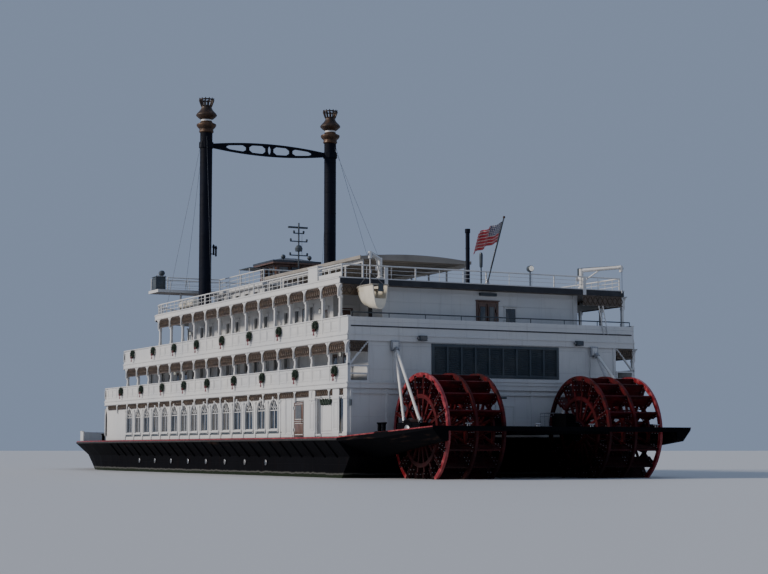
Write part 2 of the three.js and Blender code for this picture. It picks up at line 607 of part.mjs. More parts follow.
// Rail: posts and a top bar along a closed or open run of plan points
function railRun(points, floor, height, closed) {
  const parts = [];
  const ends = closed ? points.length : points.length - 1;
  for (let i = 0; i < ends; i += 1) {
    const a = points[i];
    const b = points[(i + 1) % points.length];
    const length = Math.hypot(b[0] - a[0], b[1] - a[1]);
    const count = Math.max(1, Math.round(length / RAIL.bay));
    parts.push(bar([...a, floor + height], [...b, floor + height], RAIL.bar / 2, 4));
    for (let k = 0; k < count; k += 1) {
      const x = a[0] + (b[0] - a[0]) * k / count;
      const y = a[1] + (b[1] - a[1]) * k / count;
      parts.push(post(x, y, floor, height));
    }
  }
  if (!closed) {
    parts.push(post(...points[points.length - 1], floor, height));
  }
  return joined(parts);
}

function post(x, y, floor, height) {
  const half = RAIL.bar / 2;
  return box([x - half, x + half], [y - half, y + half], [floor, floor + height + half]);
}

function rails() {
  const roof = DECKS.roof;
  const plan = {
    half: roof.half - RAIL.inset, aft: roof.aft + RAIL.inset, shoulder: roof.shoulder,
    front: roof.front - RAIL.inset,
  };
  piece('roof_rail', railRun(planPoints(plan, 8), ROOF_TOP, RAIL.roof, true), FINISH.white);
  const out = BRIDGE.half - RAIL.inset;
  const wing = BRIDGE.wingHalf - CONSOLE.length - 0.1;
  const aft = BRIDGE.wingAft + RAIL.inset;
  const front = BRIDGE.front - RAIL.inset;
  const bridge = [
    [-wing, aft], [-out, aft], [-out, BRIDGE.aft + RAIL.inset], [out, BRIDGE.aft + RAIL.inset],
    [out, aft], [wing, aft],
  ];
  piece('bridge_rail_aft', railRun(bridge, BRIDGE.top, RAIL.bridge, false), FINISH.white);
  const reach = BRIDGE.wingHalf - RAIL.inset;
  const across = [[-reach, front], [reach, front]];
  piece('bridge_rail_front', railRun(across, BRIDGE.top, RAIL.bridge, false), FINISH.white);
}

// Pilothouse: a square of walls with a window band all round, and a low hipped roof
function pilothouse() {
  const { y, half, wall, sill, head, ceiling, eave } = PILOTHOUSE;
  const walls = ringWalls(half, [y - half, y + half], [BRIDGE.top, ceiling], wall);
  const pane = (2 * half - 0.4) / 3;
  const holes = [];
  for (let i = -1; i <= 1; i += 1) {
    const middle = i * pane;
    const reach = pane / 2 - 0.08;
    holes.push(box([middle - reach, middle + reach], [y - 5, y + 5], [sill, head]));
    holes.push(box([-5, 5], [y + middle - reach, y + middle + reach], [sill, head]));
  }
  piece('pilothouse', cut(walls, holes), FINISH.wood);
  const square = (reach, z) => [
    [-reach, y - reach, z], [reach, y - reach, z], [reach, y + reach, z], [-reach, y + reach, z],
  ];
  piece('pilothouse_roof', loft([
    square(eave, ceiling), square(eave, ceiling + 0.18), square(0.6, PILOTHOUSE.crest),
  ]), FINISH.white);
}

// Mast on the bridge deck behind the pilothouse, with three yards and a dome
function signalMast() {
  const { y, top, radius } = MAST;
  const mast = bar([0, y, BRIDGE.top], [0, y, top], radius);
  const yards = [[18.4, 0.85], [19.6, 0.8], [20.3, 0.5]].map(([z, reach]) => bar(
    [-reach, y, z], [reach, y, z], 0.05, 6));
  const dome = turned(0, y, [[0, 18.75], [0.3, 18.75], [0.34, 19.0], [0.2, 19.25], [0, 19.3]], 12);
  piece('signal_mast', joined([mast, dome, ...yards]), FINISH.steel);
}

// Canopy over the roof deck: a cambered roof on a framed screen along each side
function canopy() {
  const { half, aft, front, edge, thick, camber, bays } = CANOPY;
  const shape = new THREE.Shape();
  shape.moveTo(-half, edge);
  shape.lineTo(half, edge);
  shape.lineTo(half, edge + thick);
  shape.quadraticCurveTo(0, edge + thick + 2 * camber, -half, edge + thick);
  shape.closePath();
  piece('canopy_roof', prismY(shape, [aft, front], 12), FINISH.white);
  const top = edge - GAP;
  const pitch = (front - aft - 0.4 - 0.15) / bays;
  for (const [sideName, side] of Object.entries(SIDES)) {
    const start = aft + 0.2;
    const panel = box([side * (half - 0.35), side * (half - 0.25)], [start, front - 0.2], [ROOF_TOP, top]);
    const openings = Array.from({ length: bays }, (_, i) => {
      const left = start + 0.15 + i * pitch;
      return box([side * (half - 1), side * (half + 1)], [left, left + pitch - 0.15],
        [ROOF_TOP + 0.8, top - 0.3]);
    });
    piece(`canopy_screen_${sideName}`, cut(panel, openings), FINISH.white);
  }
}

function exhaustPipe() {
  piece('exhaust_pipe', turned(PIPE.x, PIPE.y, [
    [0, ROOF_TOP], [0.25, ROOF_TOP], [0.25, ROOF_TOP + 0.2], [PIPE.radius, ROOF_TOP + 0.3],
    [PIPE.radius, PIPE.top - 0.3], [0.19, PIPE.top - 0.25], [0.19, PIPE.top], [0, PIPE.top],
  ], 12), FINISH.stack);
}

// Raked staff at the stern and a flag held near its head
function ensign() {
  const lean = Math.tan(THREE.MathUtils.degToRad(ENSIGN.rake));
  const at = (z) => [0, ENSIGN.y - (z - ROOF_TOP) * lean, z];
  const staff = cut(bar(at(ROOF_TOP - 0.2), at(ENSIGN.top), ENSIGN.radius), [
    box([-1, 1], [0, 3], [ROOF_TOP - 1, ROOF_TOP]),
  ]);
  piece('ensign_staff', staff, FINISH.white);
  const highest = new THREE.Vector3(...at(ENSIGN.top - 0.25));
  const down = new THREE.Vector3(0, lean, -1).normalize();
  const fly = new THREE.Vector3(-0.78, 0.2, -0.55).normalize();
  const across = fly.clone().addScaledVector(down, -fly.dot(down)).normalize();
  const start = highest.clone().addScaledVector(across, ENSIGN.radius + GAP);
  const normal = new THREE.Vector3().crossVectors(fly, down).normalize();
  const corner = (u, v, w) => start.clone().addScaledVector(fly, u).addScaledVector(down, v)
    .addScaledVector(normal, w).toArray();
  const ring = (w) => [
    corner(0, 0, w), corner(ENSIGN.fly, 0, w), corner(ENSIGN.fly, ENSIGN.hoist, w),
    corner(0, ENSIGN.hoist, w),
  ];
  piece('ensign_flag', loft([ring(-ENSIGN.cloth / 2), ring(ENSIGN.cloth / 2)]), FINISH.cloth);
}

// Davit: a post on the roof's aft corner with an arm that reaches over the stern
function davit(sideName, side) {
  const { x, y, post: radius, head, hookX, hookY, base } = DAVIT;
  const foot = turned(side * x, y, [
    [0, ROOF_TOP + GAP], [base, ROOF_TOP + GAP], [base, ROOF_TOP + 0.12], [radius, ROOF_TOP + 0.2],
    [radius, head], [0, head],
  ], 12);
  const arm = bar([side * x, y, head - 0.12], [side * hookX, hookY, head], radius * 0.9);
  const block = turned(side * hookX, hookY, [
    [0, head - 0.35], [0.13, head - 0.35], [0.13, head + 0.1], [0, head + 0.1],
  ], 8);
  const parts = [foot, arm, block];
  if (side === PORT) {
    parts.push(bar([side * hookX, hookY, RESCUE.gunwale + GAP], [side * hookX, hookY, head], 0.04, 6));
  }
  piece(`davit_${sideName}`, joined(parts), FINISH.white);
}

// Rescue boat under the port davit: narrow V sections with a flat keel from the transom to the stem
function rescueBoat() {
  const { keel, gunwale, aft, front, half } = RESCUE;
  const length = front - aft;
  // Along the boat: share of the length, share of the breadth, height of the keel
  const rows = [[0, 0.9, 0.0], [0.35, 1.0, 0.0], [0.65, 0.84, 0.1], [0.88, 0.42, 0.5], [1, 0.06, 1.1]];
  const x = -DAVIT.hookX;
  const rings = rows.map(([share, breadth, rise]) => {
    const y = aft + share * length;
    const low = keel + rise;
    const wide = half * breadth;
    const section = [[1, 1], [0.78, 0.45], [0.36, 0.04]].map(
      ([out, up]) => [out * wide, low + (gunwale - low) * up]);
    const right = section.map(([out, z]) => [x + out, y, z]);
    const left = section.map(([out, z]) => [x - out, y, z]).reverse();
    return [...right, ...left];
  });
  piece('rescue_boat', loft(rings), FINISH.cream);
}

// Leaves hung in the openings of the side walls, on knuckles proud of the outer face
function boardingDoor(sideName, side) {
  const { aft, front, top, leaf, clear, hinges } = BOARDING;
  const { half } = HOUSES.main;
  const parts = [box([side * (half - leaf), side * half], [aft + clear, front - clear],
    [MAIN_DECK + clear, top - clear])];
  for (const z of hinges) {
    const y = front - clear / 2;
    parts.push(bar([side * (half + HINGE.proud), y, z], [side * (half + HINGE.proud), y, z + HINGE.height],
      HINGE.radius, 12));
    parts.push(box([side * half, side * (half + HINGE.thick)], [y - HINGE.strap, y - 0.01],
      [z, z + HINGE.height]));
  }
  piece(`boarding_door_${sideName}`, joined(parts), FINISH.white);
}

function aftDoors() {
  const { middle, leafWidth, top, leaf, clear, hinges } = AFT_DOOR;
  const { aft, floor } = HOUSES.third;
  for (const [sideName, side] of Object.entries(SIDES)) {
    const parts = [box([middle + side * clear / 2, middle + side * (leafWidth - clear / 2)],
      [aft, aft + leaf], [floor + clear, top])];
    for (const z of hinges) {
      const x = middle + side * leafWidth;
      parts.push(bar([x, aft - HINGE.proud, z], [x, aft - HINGE.proud, z + HINGE.height], HINGE.radius, 12));
      parts.push(box([x - side * HINGE.strap, x - side * 0.01], [aft - HINGE.thick, aft],
        [z, z + HINGE.height]));
    }
    piece(`aft_door_${sideName}`, joined(parts), FINISH.wood);
  }
}

function foredeck() {
  const plan = {
    half: GUARD_HALF - FOREDECK.inset, aft: FOREDECK.from, shoulder: 50, front: BOW_END - FOREDECK.inset,
  };
  const outer = prismZ(polygon(planPoints(plan).slice(2)), [MAIN_DECK, MAIN_DECK + FOREDECK.height]);
  const inside = {
    ...plan, half: plan.half - FOREDECK.thick, front: plan.front - FOREDECK.thick,
  };
  const inner = prismZ(polygon(planPoints(inside).slice(2)), [MAIN_DECK - 1, MAIN_DECK + 2]);
  const behind = box([-13, 13], [40, FOREDECK.from], [MAIN_DECK - 1, MAIN_DECK + 2]);
  piece('foredeck_bulwark', cut(outer, [inner, behind]), FINISH.white);
  piece('capstan', turned(0, CAPSTAN.y, [
    [0, MAIN_DECK], [CAPSTAN.radius + 0.15, MAIN_DECK], [CAPSTAN.radius + 0.15, MAIN_DECK + 0.12],
    [CAPSTAN.radius * 0.62, MAIN_DECK + 0.25], [CAPSTAN.radius * 0.62, MAIN_DECK + 0.7],
    [CAPSTAN.radius, MAIN_DECK + 0.85], [CAPSTAN.radius, MAIN_DECK + CAPSTAN.height],
    [0, MAIN_DECK + CAPSTAN.height],
  ], 12), FINISH.steel);
  piece('jackstaff', turned(0, JACKSTAFF.y, [
    [0, MAIN_DECK], [0.2, MAIN_DECK], [0.2, MAIN_DECK + 0.15], [JACKSTAFF.radius, MAIN_DECK + 0.3],
    [JACKSTAFF.radius, JACKSTAFF.top], [0.14, JACKSTAFF.top + 0.12], [0, JACKSTAFF.top + 0.25],
  ], 8), FINISH.white);
}

hull();
decks();
houseSides();
aftWalls();
galleries();
aftLouvre();
for (const [sideName, side] of Object.entries(SIDES)) {
  paddleWheel(sideName, side);
  outrigger(sideName, side);
  struts(sideName, side);
  rudder(sideName, side);
  stack(sideName, side);
  davit(sideName, side);
  boardingDoor(sideName, side);
}
sternPlatform();
spreader();
texasHouse();
bridgeDeck();
rails();
pilothouse();
signalMast();
canopy();
exhaustPipe();
ensign();
rescueBoat();
aftDoors();
foredeck();

export default vessel;
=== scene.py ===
import json
import math
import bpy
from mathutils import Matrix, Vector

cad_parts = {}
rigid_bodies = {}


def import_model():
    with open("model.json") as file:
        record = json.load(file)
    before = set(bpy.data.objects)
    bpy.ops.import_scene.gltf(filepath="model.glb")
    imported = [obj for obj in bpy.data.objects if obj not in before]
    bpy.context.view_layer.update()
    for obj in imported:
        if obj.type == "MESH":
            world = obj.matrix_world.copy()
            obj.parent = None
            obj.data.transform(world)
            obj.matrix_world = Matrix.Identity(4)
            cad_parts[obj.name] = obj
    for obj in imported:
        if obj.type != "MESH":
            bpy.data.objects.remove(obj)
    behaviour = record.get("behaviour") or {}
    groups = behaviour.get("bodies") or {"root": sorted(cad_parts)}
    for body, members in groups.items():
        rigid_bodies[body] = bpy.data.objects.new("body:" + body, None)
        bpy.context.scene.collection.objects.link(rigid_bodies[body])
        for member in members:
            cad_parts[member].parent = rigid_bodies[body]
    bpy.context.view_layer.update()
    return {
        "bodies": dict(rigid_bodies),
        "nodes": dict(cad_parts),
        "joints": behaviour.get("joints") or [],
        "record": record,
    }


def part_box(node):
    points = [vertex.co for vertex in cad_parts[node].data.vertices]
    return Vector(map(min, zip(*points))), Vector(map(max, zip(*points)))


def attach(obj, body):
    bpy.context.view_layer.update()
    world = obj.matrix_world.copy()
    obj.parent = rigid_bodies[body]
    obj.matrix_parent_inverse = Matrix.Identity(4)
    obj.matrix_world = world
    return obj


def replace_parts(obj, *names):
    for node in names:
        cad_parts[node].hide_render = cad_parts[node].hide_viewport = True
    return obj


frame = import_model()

from types import SimpleNamespace as Record

import bpy
import numpy as np
from bpy.props import FloatProperty, FloatVectorProperty, IntProperty, PointerProperty
from mathutils import Vector

bl_info = {
    "name": "Showboat Dressing",
    "version": (1, 0, 0),
    "blender": (4, 5, 0),
    "location": "3D View > Sidebar > Showboat",
    "description": "Paint, joinery, rigging and deck gear for a 1:10 twin-sternwheel showboat",
    "category": "Object",
}

# Shapes are worked out in the real vessel's metres: x to starboard, y forward from the aft end of the
# promenade decks, z up from the waterline. The model is a tenth of that, from the keel up.
SCALE = 0.1
MIDDLE_Y = 33.75
DRAFT = 2.1
UP = np.array((0.0, 0.0, 1.0))
OUTWARD = np.array((1.0, 0.0, 0.0))
AFTWARD = np.array((0.0, -1.0, 0.0))
FORWARD = np.array((0.0, 1.0, 0.0))
SIDES = {"port": -1.0, "starboard": 1.0}


def limits(node):
    """Lowest and highest corner of a solid, in real metres."""
    corners = np.array([tuple(corner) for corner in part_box(node)]) / SCALE
    return corners + np.array((0.0, MIDDLE_Y, -DRAFT))


def plan_of(node, shoulder, aft_wall=None):
    """A deck's or house's plan and heights from its solid, and where its straight side ends."""
    (x0, aft, bottom), (x1, front, top) = limits(node)
    if aft_wall:
        aft = limits(aft_wall)[0][1]
    return Record(half=max(-x0, x1), aft=aft, shoulder=shoulder, front=front, bottom=bottom, top=top)


GUARD = plan_of("hull", 50.0)
DECKS = {level: plan_of(f"{level}_deck", shoulder)
         for level, shoulder in (("second", 50.5), ("third", 45.2), ("roof", 36.8))}
HOUSES = {level: plan_of(f"{level}_wall_port", shoulder, f"{level}_wall_aft")
          for level, shoulder in (("main", 50.5), ("second", 42.0), ("third", 33.0))}
ROOF = DECKS["roof"].top
MAIN_DECK = 2.72

# Window rows in the side walls: first and last middle, pitch, width, sill and head
WINDOWS = {
    "main": (12.4, 44.6, 2.3, 1.5, 3.3, 5.4),
    "second": (11.5, 40.0, 1.9, 0.7, 6.75, 8.5),
    "third": (11.5, 31.0, 1.9, 0.7, 9.95, 11.7),
}
# Galleries: bulwark top, deck overhead and bays between posts
GALLERIES = {
    "second": Record(rail=7.35, cover=DECKS["third"], bays=16),
    "third": Record(rail=10.5, cover=DECKS["roof"], bays=13),
}
POST = 0.2
# Middles of the wreaths along each gallery and their height on its bulwark
WREATHS = {
    "second": ((1.8, 8.2, 14.1, 19.6, 25.2, 30.4, 35.6, 41.0, 46.5), 7.0),
    "third": ((4.9, 11.1, 16.6, 22.1, 27.6, 32.8, 38.0, 43.4), 10.15),
}

WHEEL = Record(y=-4.0, z=3.05, radius=3.66, inner=3.9, outer=8.0, arms=18, plate=0.12, ring=2.2,
               boards=(2.62, 3.6))
STACK = Record(x=6.0, y=39.9, radius=0.54, foot=0.62, crown=29.7)
SPREADER = Record(z=28.5, rise=0.425, reach=5.8)
BRIDGE = Record(top=15.75, half=4.3, aft=31.0, front=43.5, wing=9.9, wing_aft=41.0)
PILOTHOUSE = Record(y=35.8, half=1.75, sill=16.6, head=17.45, eave=2.2, ceiling=17.75)
CANOPY = Record(half=4.6, aft=11.7, front=29.7, edge=15.8, camber=0.28, bays=6)
RAIL = Record(roof=0.85, bridge=1.05)
MAST_Y = 33.3
ENSIGN = Record(y=1.27, top=17.5, rake=math.radians(28), hoist=1.5, fly=2.3)
DAVIT = Record(x=8.0, y=1.75, head=14.65, hook_x=9.85, hook_y=-0.5)
RESCUE = Record(keel=10.85, gunwale=12.45, aft=-2.0, half=0.66)
BOARDING = Record(aft=7.2, front=8.9, top=5.2)
AFT_DOOR = Record(middle=0.4, width=0.72, top=11.9, sill=9.4)
LOUVRE = Record(bars=9, edge=0.2)
STRUT_FEET = (-5.3, -3.0)
SEARCHLIGHT = Record(x=9.2, y=42.0)
STAIR = Record(half=0.92, foot=60.9, head=57.9, steps=12, going=0.24, rise=0.26)
# Feet of a stack's stays, bitts of the foredeck as (y, x), and lamps of the mast as (z, reach)
STAY_FEET = np.array(((8.8, 30.9, ROOF), (10.5, 37.4, ROOF), (6.6, 43.25, BRIDGE.top)))
BITTS = ((71.5, 2.0), (66.0, 5.2), (61.0, 7.6))
MAST_LAMPS = ((18.4, 0.8), (19.6, 0.75), (20.3, 0.45))
# Rows along the sides: pitch of the main level's posts, then start, end and pitch of knees and ports
MAIN_PITCH = 45.0 / 16
KNEES = (2.0, 49.0, 1.9)
PORTS = (14.0, 46.0, 4.0)
# Middles of cabin doors along each gallery, and aft ends of the rafts on the roof
CABIN_DOORS = {"second": (3.4, 5.1, 34.3, 36.0), "third": (6.7, 32.4)}
RAFTS = (30.6, 32.4)
# Across the stern: ribs of the main level, panels of the third, and deck lights over the second
STERN_RIBS = np.array((-10.9, -8.3, -5.6, -2.8, 0.0, 2.8, 5.6, 8.3, 10.9))
STERN_PANELS = (-6.6, -5.0, -3.4, -1.8, 3.9, 5.4, 6.8)
STERN_LIGHTS = (-5.8, 6.5)
# Deck edge of an outrigger at the transom and at its tip, and the stepped corner of the third house
OUTRIGGER = ((11.9, 0.117, 2.7), (9.6, -8.6, 3.3))
CORNER = Record(x=7.7, y=5.5)
CAMERA_PLACE = (-5.946, -13.489, 0.39)
CAMERA_AIM = (0.4494, 0.8934, 0.0946)


def swatch(name, description, default):
    return FloatVectorProperty(name=name, description=description, subtype="COLOR", min=0, max=1,
                               default=default)


class ShowboatColours(bpy.types.PropertyGroup):
    """Paints and finishes."""

    white: swatch("White paint", "Houses, galleries and rails", (0.70, 0.69, 0.665))
    hull: swatch("Hull paint", "Hull and stern outriggers", (0.003, 0.003, 0.0045))
    red: swatch("Wheel paint", "Paddle wheels and the deck-edge line", (0.085, 0.004, 0.006))
    stack: swatch("Stack paint", "Stacks and their spreader", (0.006, 0.0075, 0.015))
    slate: swatch("Slate paint", "Louvres, consoles and dark trim", (0.045, 0.062, 0.078))
    soffit: swatch("Varnish", "Soffits and the friezes over the galleries", (0.085, 0.055, 0.032))
    wood: swatch("Joinery", "Pilothouse and aft doors", (0.13, 0.066, 0.043))
    bronze: swatch("Bronze", "Stack crowns, knobs and the bell", (0.10, 0.052, 0.026))
    leaf: swatch("Evergreen", "Wreaths", (0.007, 0.020, 0.010))
    flag_red: swatch("Flag red", "Stripes of the ensign", (0.58, 0.035, 0.05))
    flag_blue: swatch("Flag blue", "Canton of the ensign", (0.025, 0.04, 0.16))


class ShowboatSizes(bpy.types.PropertyGroup):
    """Sizes of the real vessel that a user may change."""

    wreath: FloatProperty(name="Wreath width", description="Outside diameter of a wreath", unit="LENGTH",
                          default=0.8, min=0.3, max=1.2)
    rail_pitch: FloatProperty(name="Rail pitch", description="Between the posts of the roof rail",
                              unit="LENGTH", default=0.9, min=0.3, max=3.0)
    stay: FloatProperty(name="Stay radius", description="Wire stays of the stacks", unit="LENGTH",
                        default=0.013, min=0.01, max=0.06)
    petals: IntProperty(name="Crown petals", description="Points of each stack's coronet",
                        default=12, min=6, max=24)
    ripple: FloatProperty(name="Flag ripple", description="How far the ensign's folds swing",
                          subtype="ANGLE", unit="ROTATION", default=math.radians(52), min=0, max=1.2)
    lens: FloatProperty(name="Lens", description="Camera's focal length in millimetres", default=81.0,
                        min=20, max=200)


def colours():
    return bpy.context.scene.showboat_colours


def sizes():
    return bpy.context.scene.showboat_sizes


def tone(colour):
    """Three numbers as they are, or a setting's name, a share of it, and its tint and the tint's share."""
    if not isinstance(colour[0], str):
        return colour
    name, share, *tint = colour
    base = np.array(getattr(colours(), name)) * share
    return base * (1 - tint[1]) + np.array(tint[0]) * tint[1] if tint else base


class Value:
    """A number on a socket. Arithmetic on it adds Math nodes to its material."""

    def __init__(self, paint, socket):
        self.paint, self.socket = paint, socket

    def _math(self, operation, first, second):
        node = self.paint.node("ShaderNodeMath", {"operation": operation}, {0: first, 1: second})
        return Value(self.paint, node.outputs[0])

    def __add__(self, other):
        return self._math("ADD", self, other)

    def __sub__(self, other):
        return self._math("SUBTRACT", self, other)

    def __rsub__(self, other):
        return self._math("SUBTRACT", other, self)

    def __mul__(self, other):
        return self._math("MULTIPLY", self, other)

    def __truediv__(self, other):
        return self._math("DIVIDE", self, other)

    def __pow__(self, other):
        return self._math("POWER", self, other)

    __radd__ = __add__
    __rmul__ = __mul__

    def larger(self, other):
        return self._math("MAXIMUM", self, other)

    def size(self):
        return self._math("ABSOLUTE", self, 0.0)

    def ramp(self, low, high):
        """0 below low, 1 above high, smooth between them; high may be the lower one."""
        flip = low > high
        node = self.paint.node("ShaderNodeMapRange", {"interpolation_type": "SMOOTHSTEP"},
                               {"Value": self, "From Min": min(low, high), "From Max": max(low, high)})
        rising = Value(self.paint, node.outputs["Result"])
        return 1.0 - rising if flip else rising

    def between(self, low, high, soft):
        """1 from low to high, with soft edges."""
        return self.ramp(low - soft, low + soft) * self.ramp(high + soft, high - soft)

    def line(self, pitch, width):
        """1 on thin lines that repeat at every pitch."""
        return self._math("PINGPONG", self, pitch / 2).ramp(width, width / 3)


class Paint:
    """A material's nodes round one shader, whose plain sockets are given first."""

    def __init__(self, name, plain):
        self.material = bpy.data.materials.new(name)
        self.material.use_nodes = True
        self.tree = self.material.node_tree
        self.shader = self.tree.nodes["Principled BSDF"]
        for socket, value in plain.items():
            self.shader.inputs[socket].default_value = value

    def node(self, kind, settings, sockets):
        """Adds a node of a kind: settings first, then values or links to its sockets."""
        node = self.tree.nodes.new(kind)
        for key, value in settings.items():
            setattr(node, key, value)
        for key, value in sockets.items():
            self.feed(node.inputs[key], value)
        return node

    def feed(self, target, value):
        """Puts a value, a colour or a link into a socket."""
        if isinstance(value, Value):
            value = value.socket
        if isinstance(value, bpy.types.NodeSocket):
            self.tree.links.new(value, target)
        elif target.type == "RGBA":
            target.default_value = (*tone(value), 1.0)
        else:
            target.default_value = value

    def parts(self, source):
        """The three values of a vector."""
        split = self.node("ShaderNodeSeparateXYZ", {}, {0: source})
        return [Value(self, socket) for socket in split.outputs]

    def coordinates(self, kind):
        return self.node("ShaderNodeTexCoord", {}, {}).outputs[kind]

    def place(self):
        """The point on the real vessel, as three values in metres."""
        x, y, z = self.parts(self.coordinates("Object"))
        return x / SCALE, y / SCALE + MIDDLE_Y, z / SCALE - DRAFT

    def facing(self):
        """The surface's direction, as three values."""
        return self.parts(self.node("ShaderNodeNewGeometry", {}, {}).outputs["True Normal"])

    def noise(self, size, detail=2.0, stretch=(1.0, 1.0, 1.0)):
        """Blotches of about a size in real metres, longer along an axis by its stretch."""
        scale = tuple(1.0 / (SCALE * size * amount) for amount in stretch)
        mapped = self.node("ShaderNodeMapping", {}, {"Vector": self.coordinates("Object"), "Scale": scale})
        noise = self.node("ShaderNodeTexNoise", {},
                          {"Vector": mapped.outputs[0], "Scale": 1.0, "Detail": detail})
        return Value(self, noise.outputs[0])

    def spots(self, size, detail, low, high, stretch=(1.0, 1.0, 1.0)):
        """Blotches that rise from 0 at a low level of their noise to 1 at a high one."""
        return self.noise(size, detail, stretch).ramp(low, high)

    def mix(self, factor, first, second):
        """First colour where the factor is 0, second where it is 1."""
        node = self.node("ShaderNodeMix", {"data_type": "RGBA"}, {0: factor, 6: first, 7: second})
        return node.outputs[2]

    def coats(self, colour, *layers):
        """A colour with others over it, each laid on by its factor."""
        for factor, over in layers:
            colour = self.mix(factor, colour, over)
        return colour

    def done(self, base, roughness, height, depth, **sockets):
        """Feeds the shader: colour, roughness, and relief as deep as a depth in real metres where a
        height of 0 to 1 is high; base_color means Base Color."""
        if depth:
            bump = self.node("ShaderNodeBump", {}, {"Height": height, "Distance": depth * SCALE})
            sockets["normal"] = bump.outputs[0]
        for key, value in {"base_color": base, "roughness": roughness, **sockets}.items():
            self.feed(self.shader.inputs[key.replace("_", " ").title()], value)


DIRT = (0.20, 0.16, 0.11)
RUST = (0.19, 0.065, 0.02)


def weathered_white(paint):
    """White paint with chalking, rain streaks below edges, and grime in broad patches."""
    streaks = paint.spots(0.22, 3.0, 0.56, 0.78, (1, 1, 14))
    grime = paint.spots(1.6, 5.0, 0.48, 0.8)
    base = paint.coats(("white", 1),
                       (paint.spots(5.0, 4.0, 0.35, 0.7), ("white", 0.88, (0.62, 0.66, 0.72), 0.3)),
                       (streaks * 0.22, ("white", 1, DIRT, 0.7)), (grime * 0.16, ("white", 1, DIRT, 0.6)))
    return base, streaks + grime


def white_paint(paint):
    """Painted steel plating of houses and rails, with faint plate joints every 2.4 m."""
    x, y, z = paint.place()
    toward_x, toward_y, _ = paint.facing()
    base, dirt = weathered_white(paint)
    joints = (y.line(2.4, 0.022) * toward_x.size() + x.line(2.4, 0.022) * toward_y.size())
    seams = joints.larger((z + 0.65).line(1.55, 0.02) * toward_y.size())
    height = paint.noise(0.12, 3.0, (1, 4, 1)) * 0.25 + paint.noise(1.1, 2.0) - seams * 0.3
    paint.done(paint.mix(seams * 0.22, base, ("white", 0.5)), 0.42 + dirt * 0.14, height, 0.03)


def deck_paint(paint):
    """Deck slabs: grey anti-slip coating above, varnished boards below, white edges."""
    x, _, _ = paint.place()
    _, _, up = paint.facing()
    white, dirt = weathered_white(paint)
    grit = paint.noise(0.05, 2.0)
    coating = paint.coats((0.30, 0.30, 0.29), (paint.spots(2.5, 4.0, 0.4, 0.75), (0.186, 0.186, 0.1798)),
                          (grit.ramp(0.5, 0.8) * 0.5, (0.45, 0.45, 0.435)))
    board_joint = x.line(0.32, 0.03)
    varnish = paint.coats(("soffit", 0.55), (paint.spots(0.09, 4.0, 0.3, 0.75, (1, 16, 1)), ("soffit", 1.6)),
                          (board_joint, ("soffit", 0.25)))
    above, below = up.ramp(0.5, 0.7), up.ramp(-0.5, -0.7)
    paint.done(paint.coats(white, (above, coating), (below, varnish)), 0.45 + above * 0.35 + dirt * 0.1,
               grit * above * 0.4 - board_joint * below, 0.03)


def hull_paint(paint):
    """Black hull plating with welded seams, scuffs at the guard, salt and growth at the waterline,
    red oxide under water and a coated deck."""
    _, y, z = paint.place()
    toward_x, _, up = paint.facing()
    patches = paint.spots(3.0, 4.0, 0.35, 0.75)
    level_seam = (z + 0.4).line(1.3, 0.035) * up.size().ramp(0.6, 0.3)
    seams = (y.line(6.0, 0.04) * toward_x.size()).larger(level_seam)
    scuffs = paint.spots(0.5, 5.0, 0.55, 0.72, (1, 6, 0.5)) * z.between(2.2, 2.75, 0.12)
    runs = paint.spots(0.3, 3.0, 0.6, 0.8, (1, 1, 10)) * z.ramp(2.6, 0.6)
    edge = z + paint.noise(0.6, 4.0) * 0.22
    deck = up.ramp(0.5, 0.8) * z.ramp(2.4, 2.6)
    coating = paint.mix(paint.spots(2.2, 4.0, 0.4, 0.7), (0.075, 0.045, 0.04), (0.05, 0.036, 0.034))
    base = paint.coats(("hull", 1), (patches, ("hull", 1, (0.014, 0.015, 0.02), 0.2)),
                       (seams * 0.4, (0.012, 0.012, 0.015)), (scuffs * 0.3, (0.145, 0.0775, 0.05)),
                       (runs * 0.1, ("hull", 1, RUST, 0.4)),
                       (edge.between(0.33, 0.42, 0.06) * 0.5, (0.22, 0.22, 0.2)),
                       (edge.ramp(0.36, 0.26), (0.018, 0.026, 0.014)),
                       (edge.ramp(0.02, -0.1), (0.16, 0.035, 0.022)), (deck, coating))
    height = paint.noise(1.4, 2.0, (1, 1, 1.6)) * 1.2 - seams * 0.5 + paint.noise(0.05, 2.0) * deck * 0.3
    paint.done(base, 0.7 + patches * 0.1 + deck * 0.15 - z.ramp(0.5, 0.1) * 0.2, height, 0.05)


def wheel_red(paint):
    """Red paint on timber and steel, scoured and dark towards the boards' tips, chipped to grey, with painted
    shade that darkens the wheel's lower half nearly to black.
    """
    _, y, z = paint.place()
    out = ((y - WHEEL.y) ** 2.0 + (z - WHEEL.z) ** 2.0) ** 0.5
    patches = paint.spots(0.8, 4.0, 0.35, 0.7)
    scoured = paint.spots(0.35, 5.0, 0.42, 0.66, (5, 1, 1)) * out.ramp(1.9, 3.5)
    chips = paint.spots(0.11, 4.0, 0.66, 0.7)
    base = paint.coats(("red", 1.25), (patches, ("red", 0.6)),
                       # Painted shade: the lower half of the wheel is darkened nearly to black.
                       (z.ramp(WHEEL.z + 1.5, WHEEL.z - 2.6) * 0.8, (0.012, 0.004, 0.005)),
                       (scoured * 0.7, (0.014, 0.007, 0.007)), (chips * 0.4, (0.223, 0.1295, 0.092)))
    paint.done(base, 0.45 + patches * 0.2 + scoured * 0.15,
               paint.noise(0.06, 3.0, (14, 1, 1)) * 0.6 - chips * 0.4, 0.03)


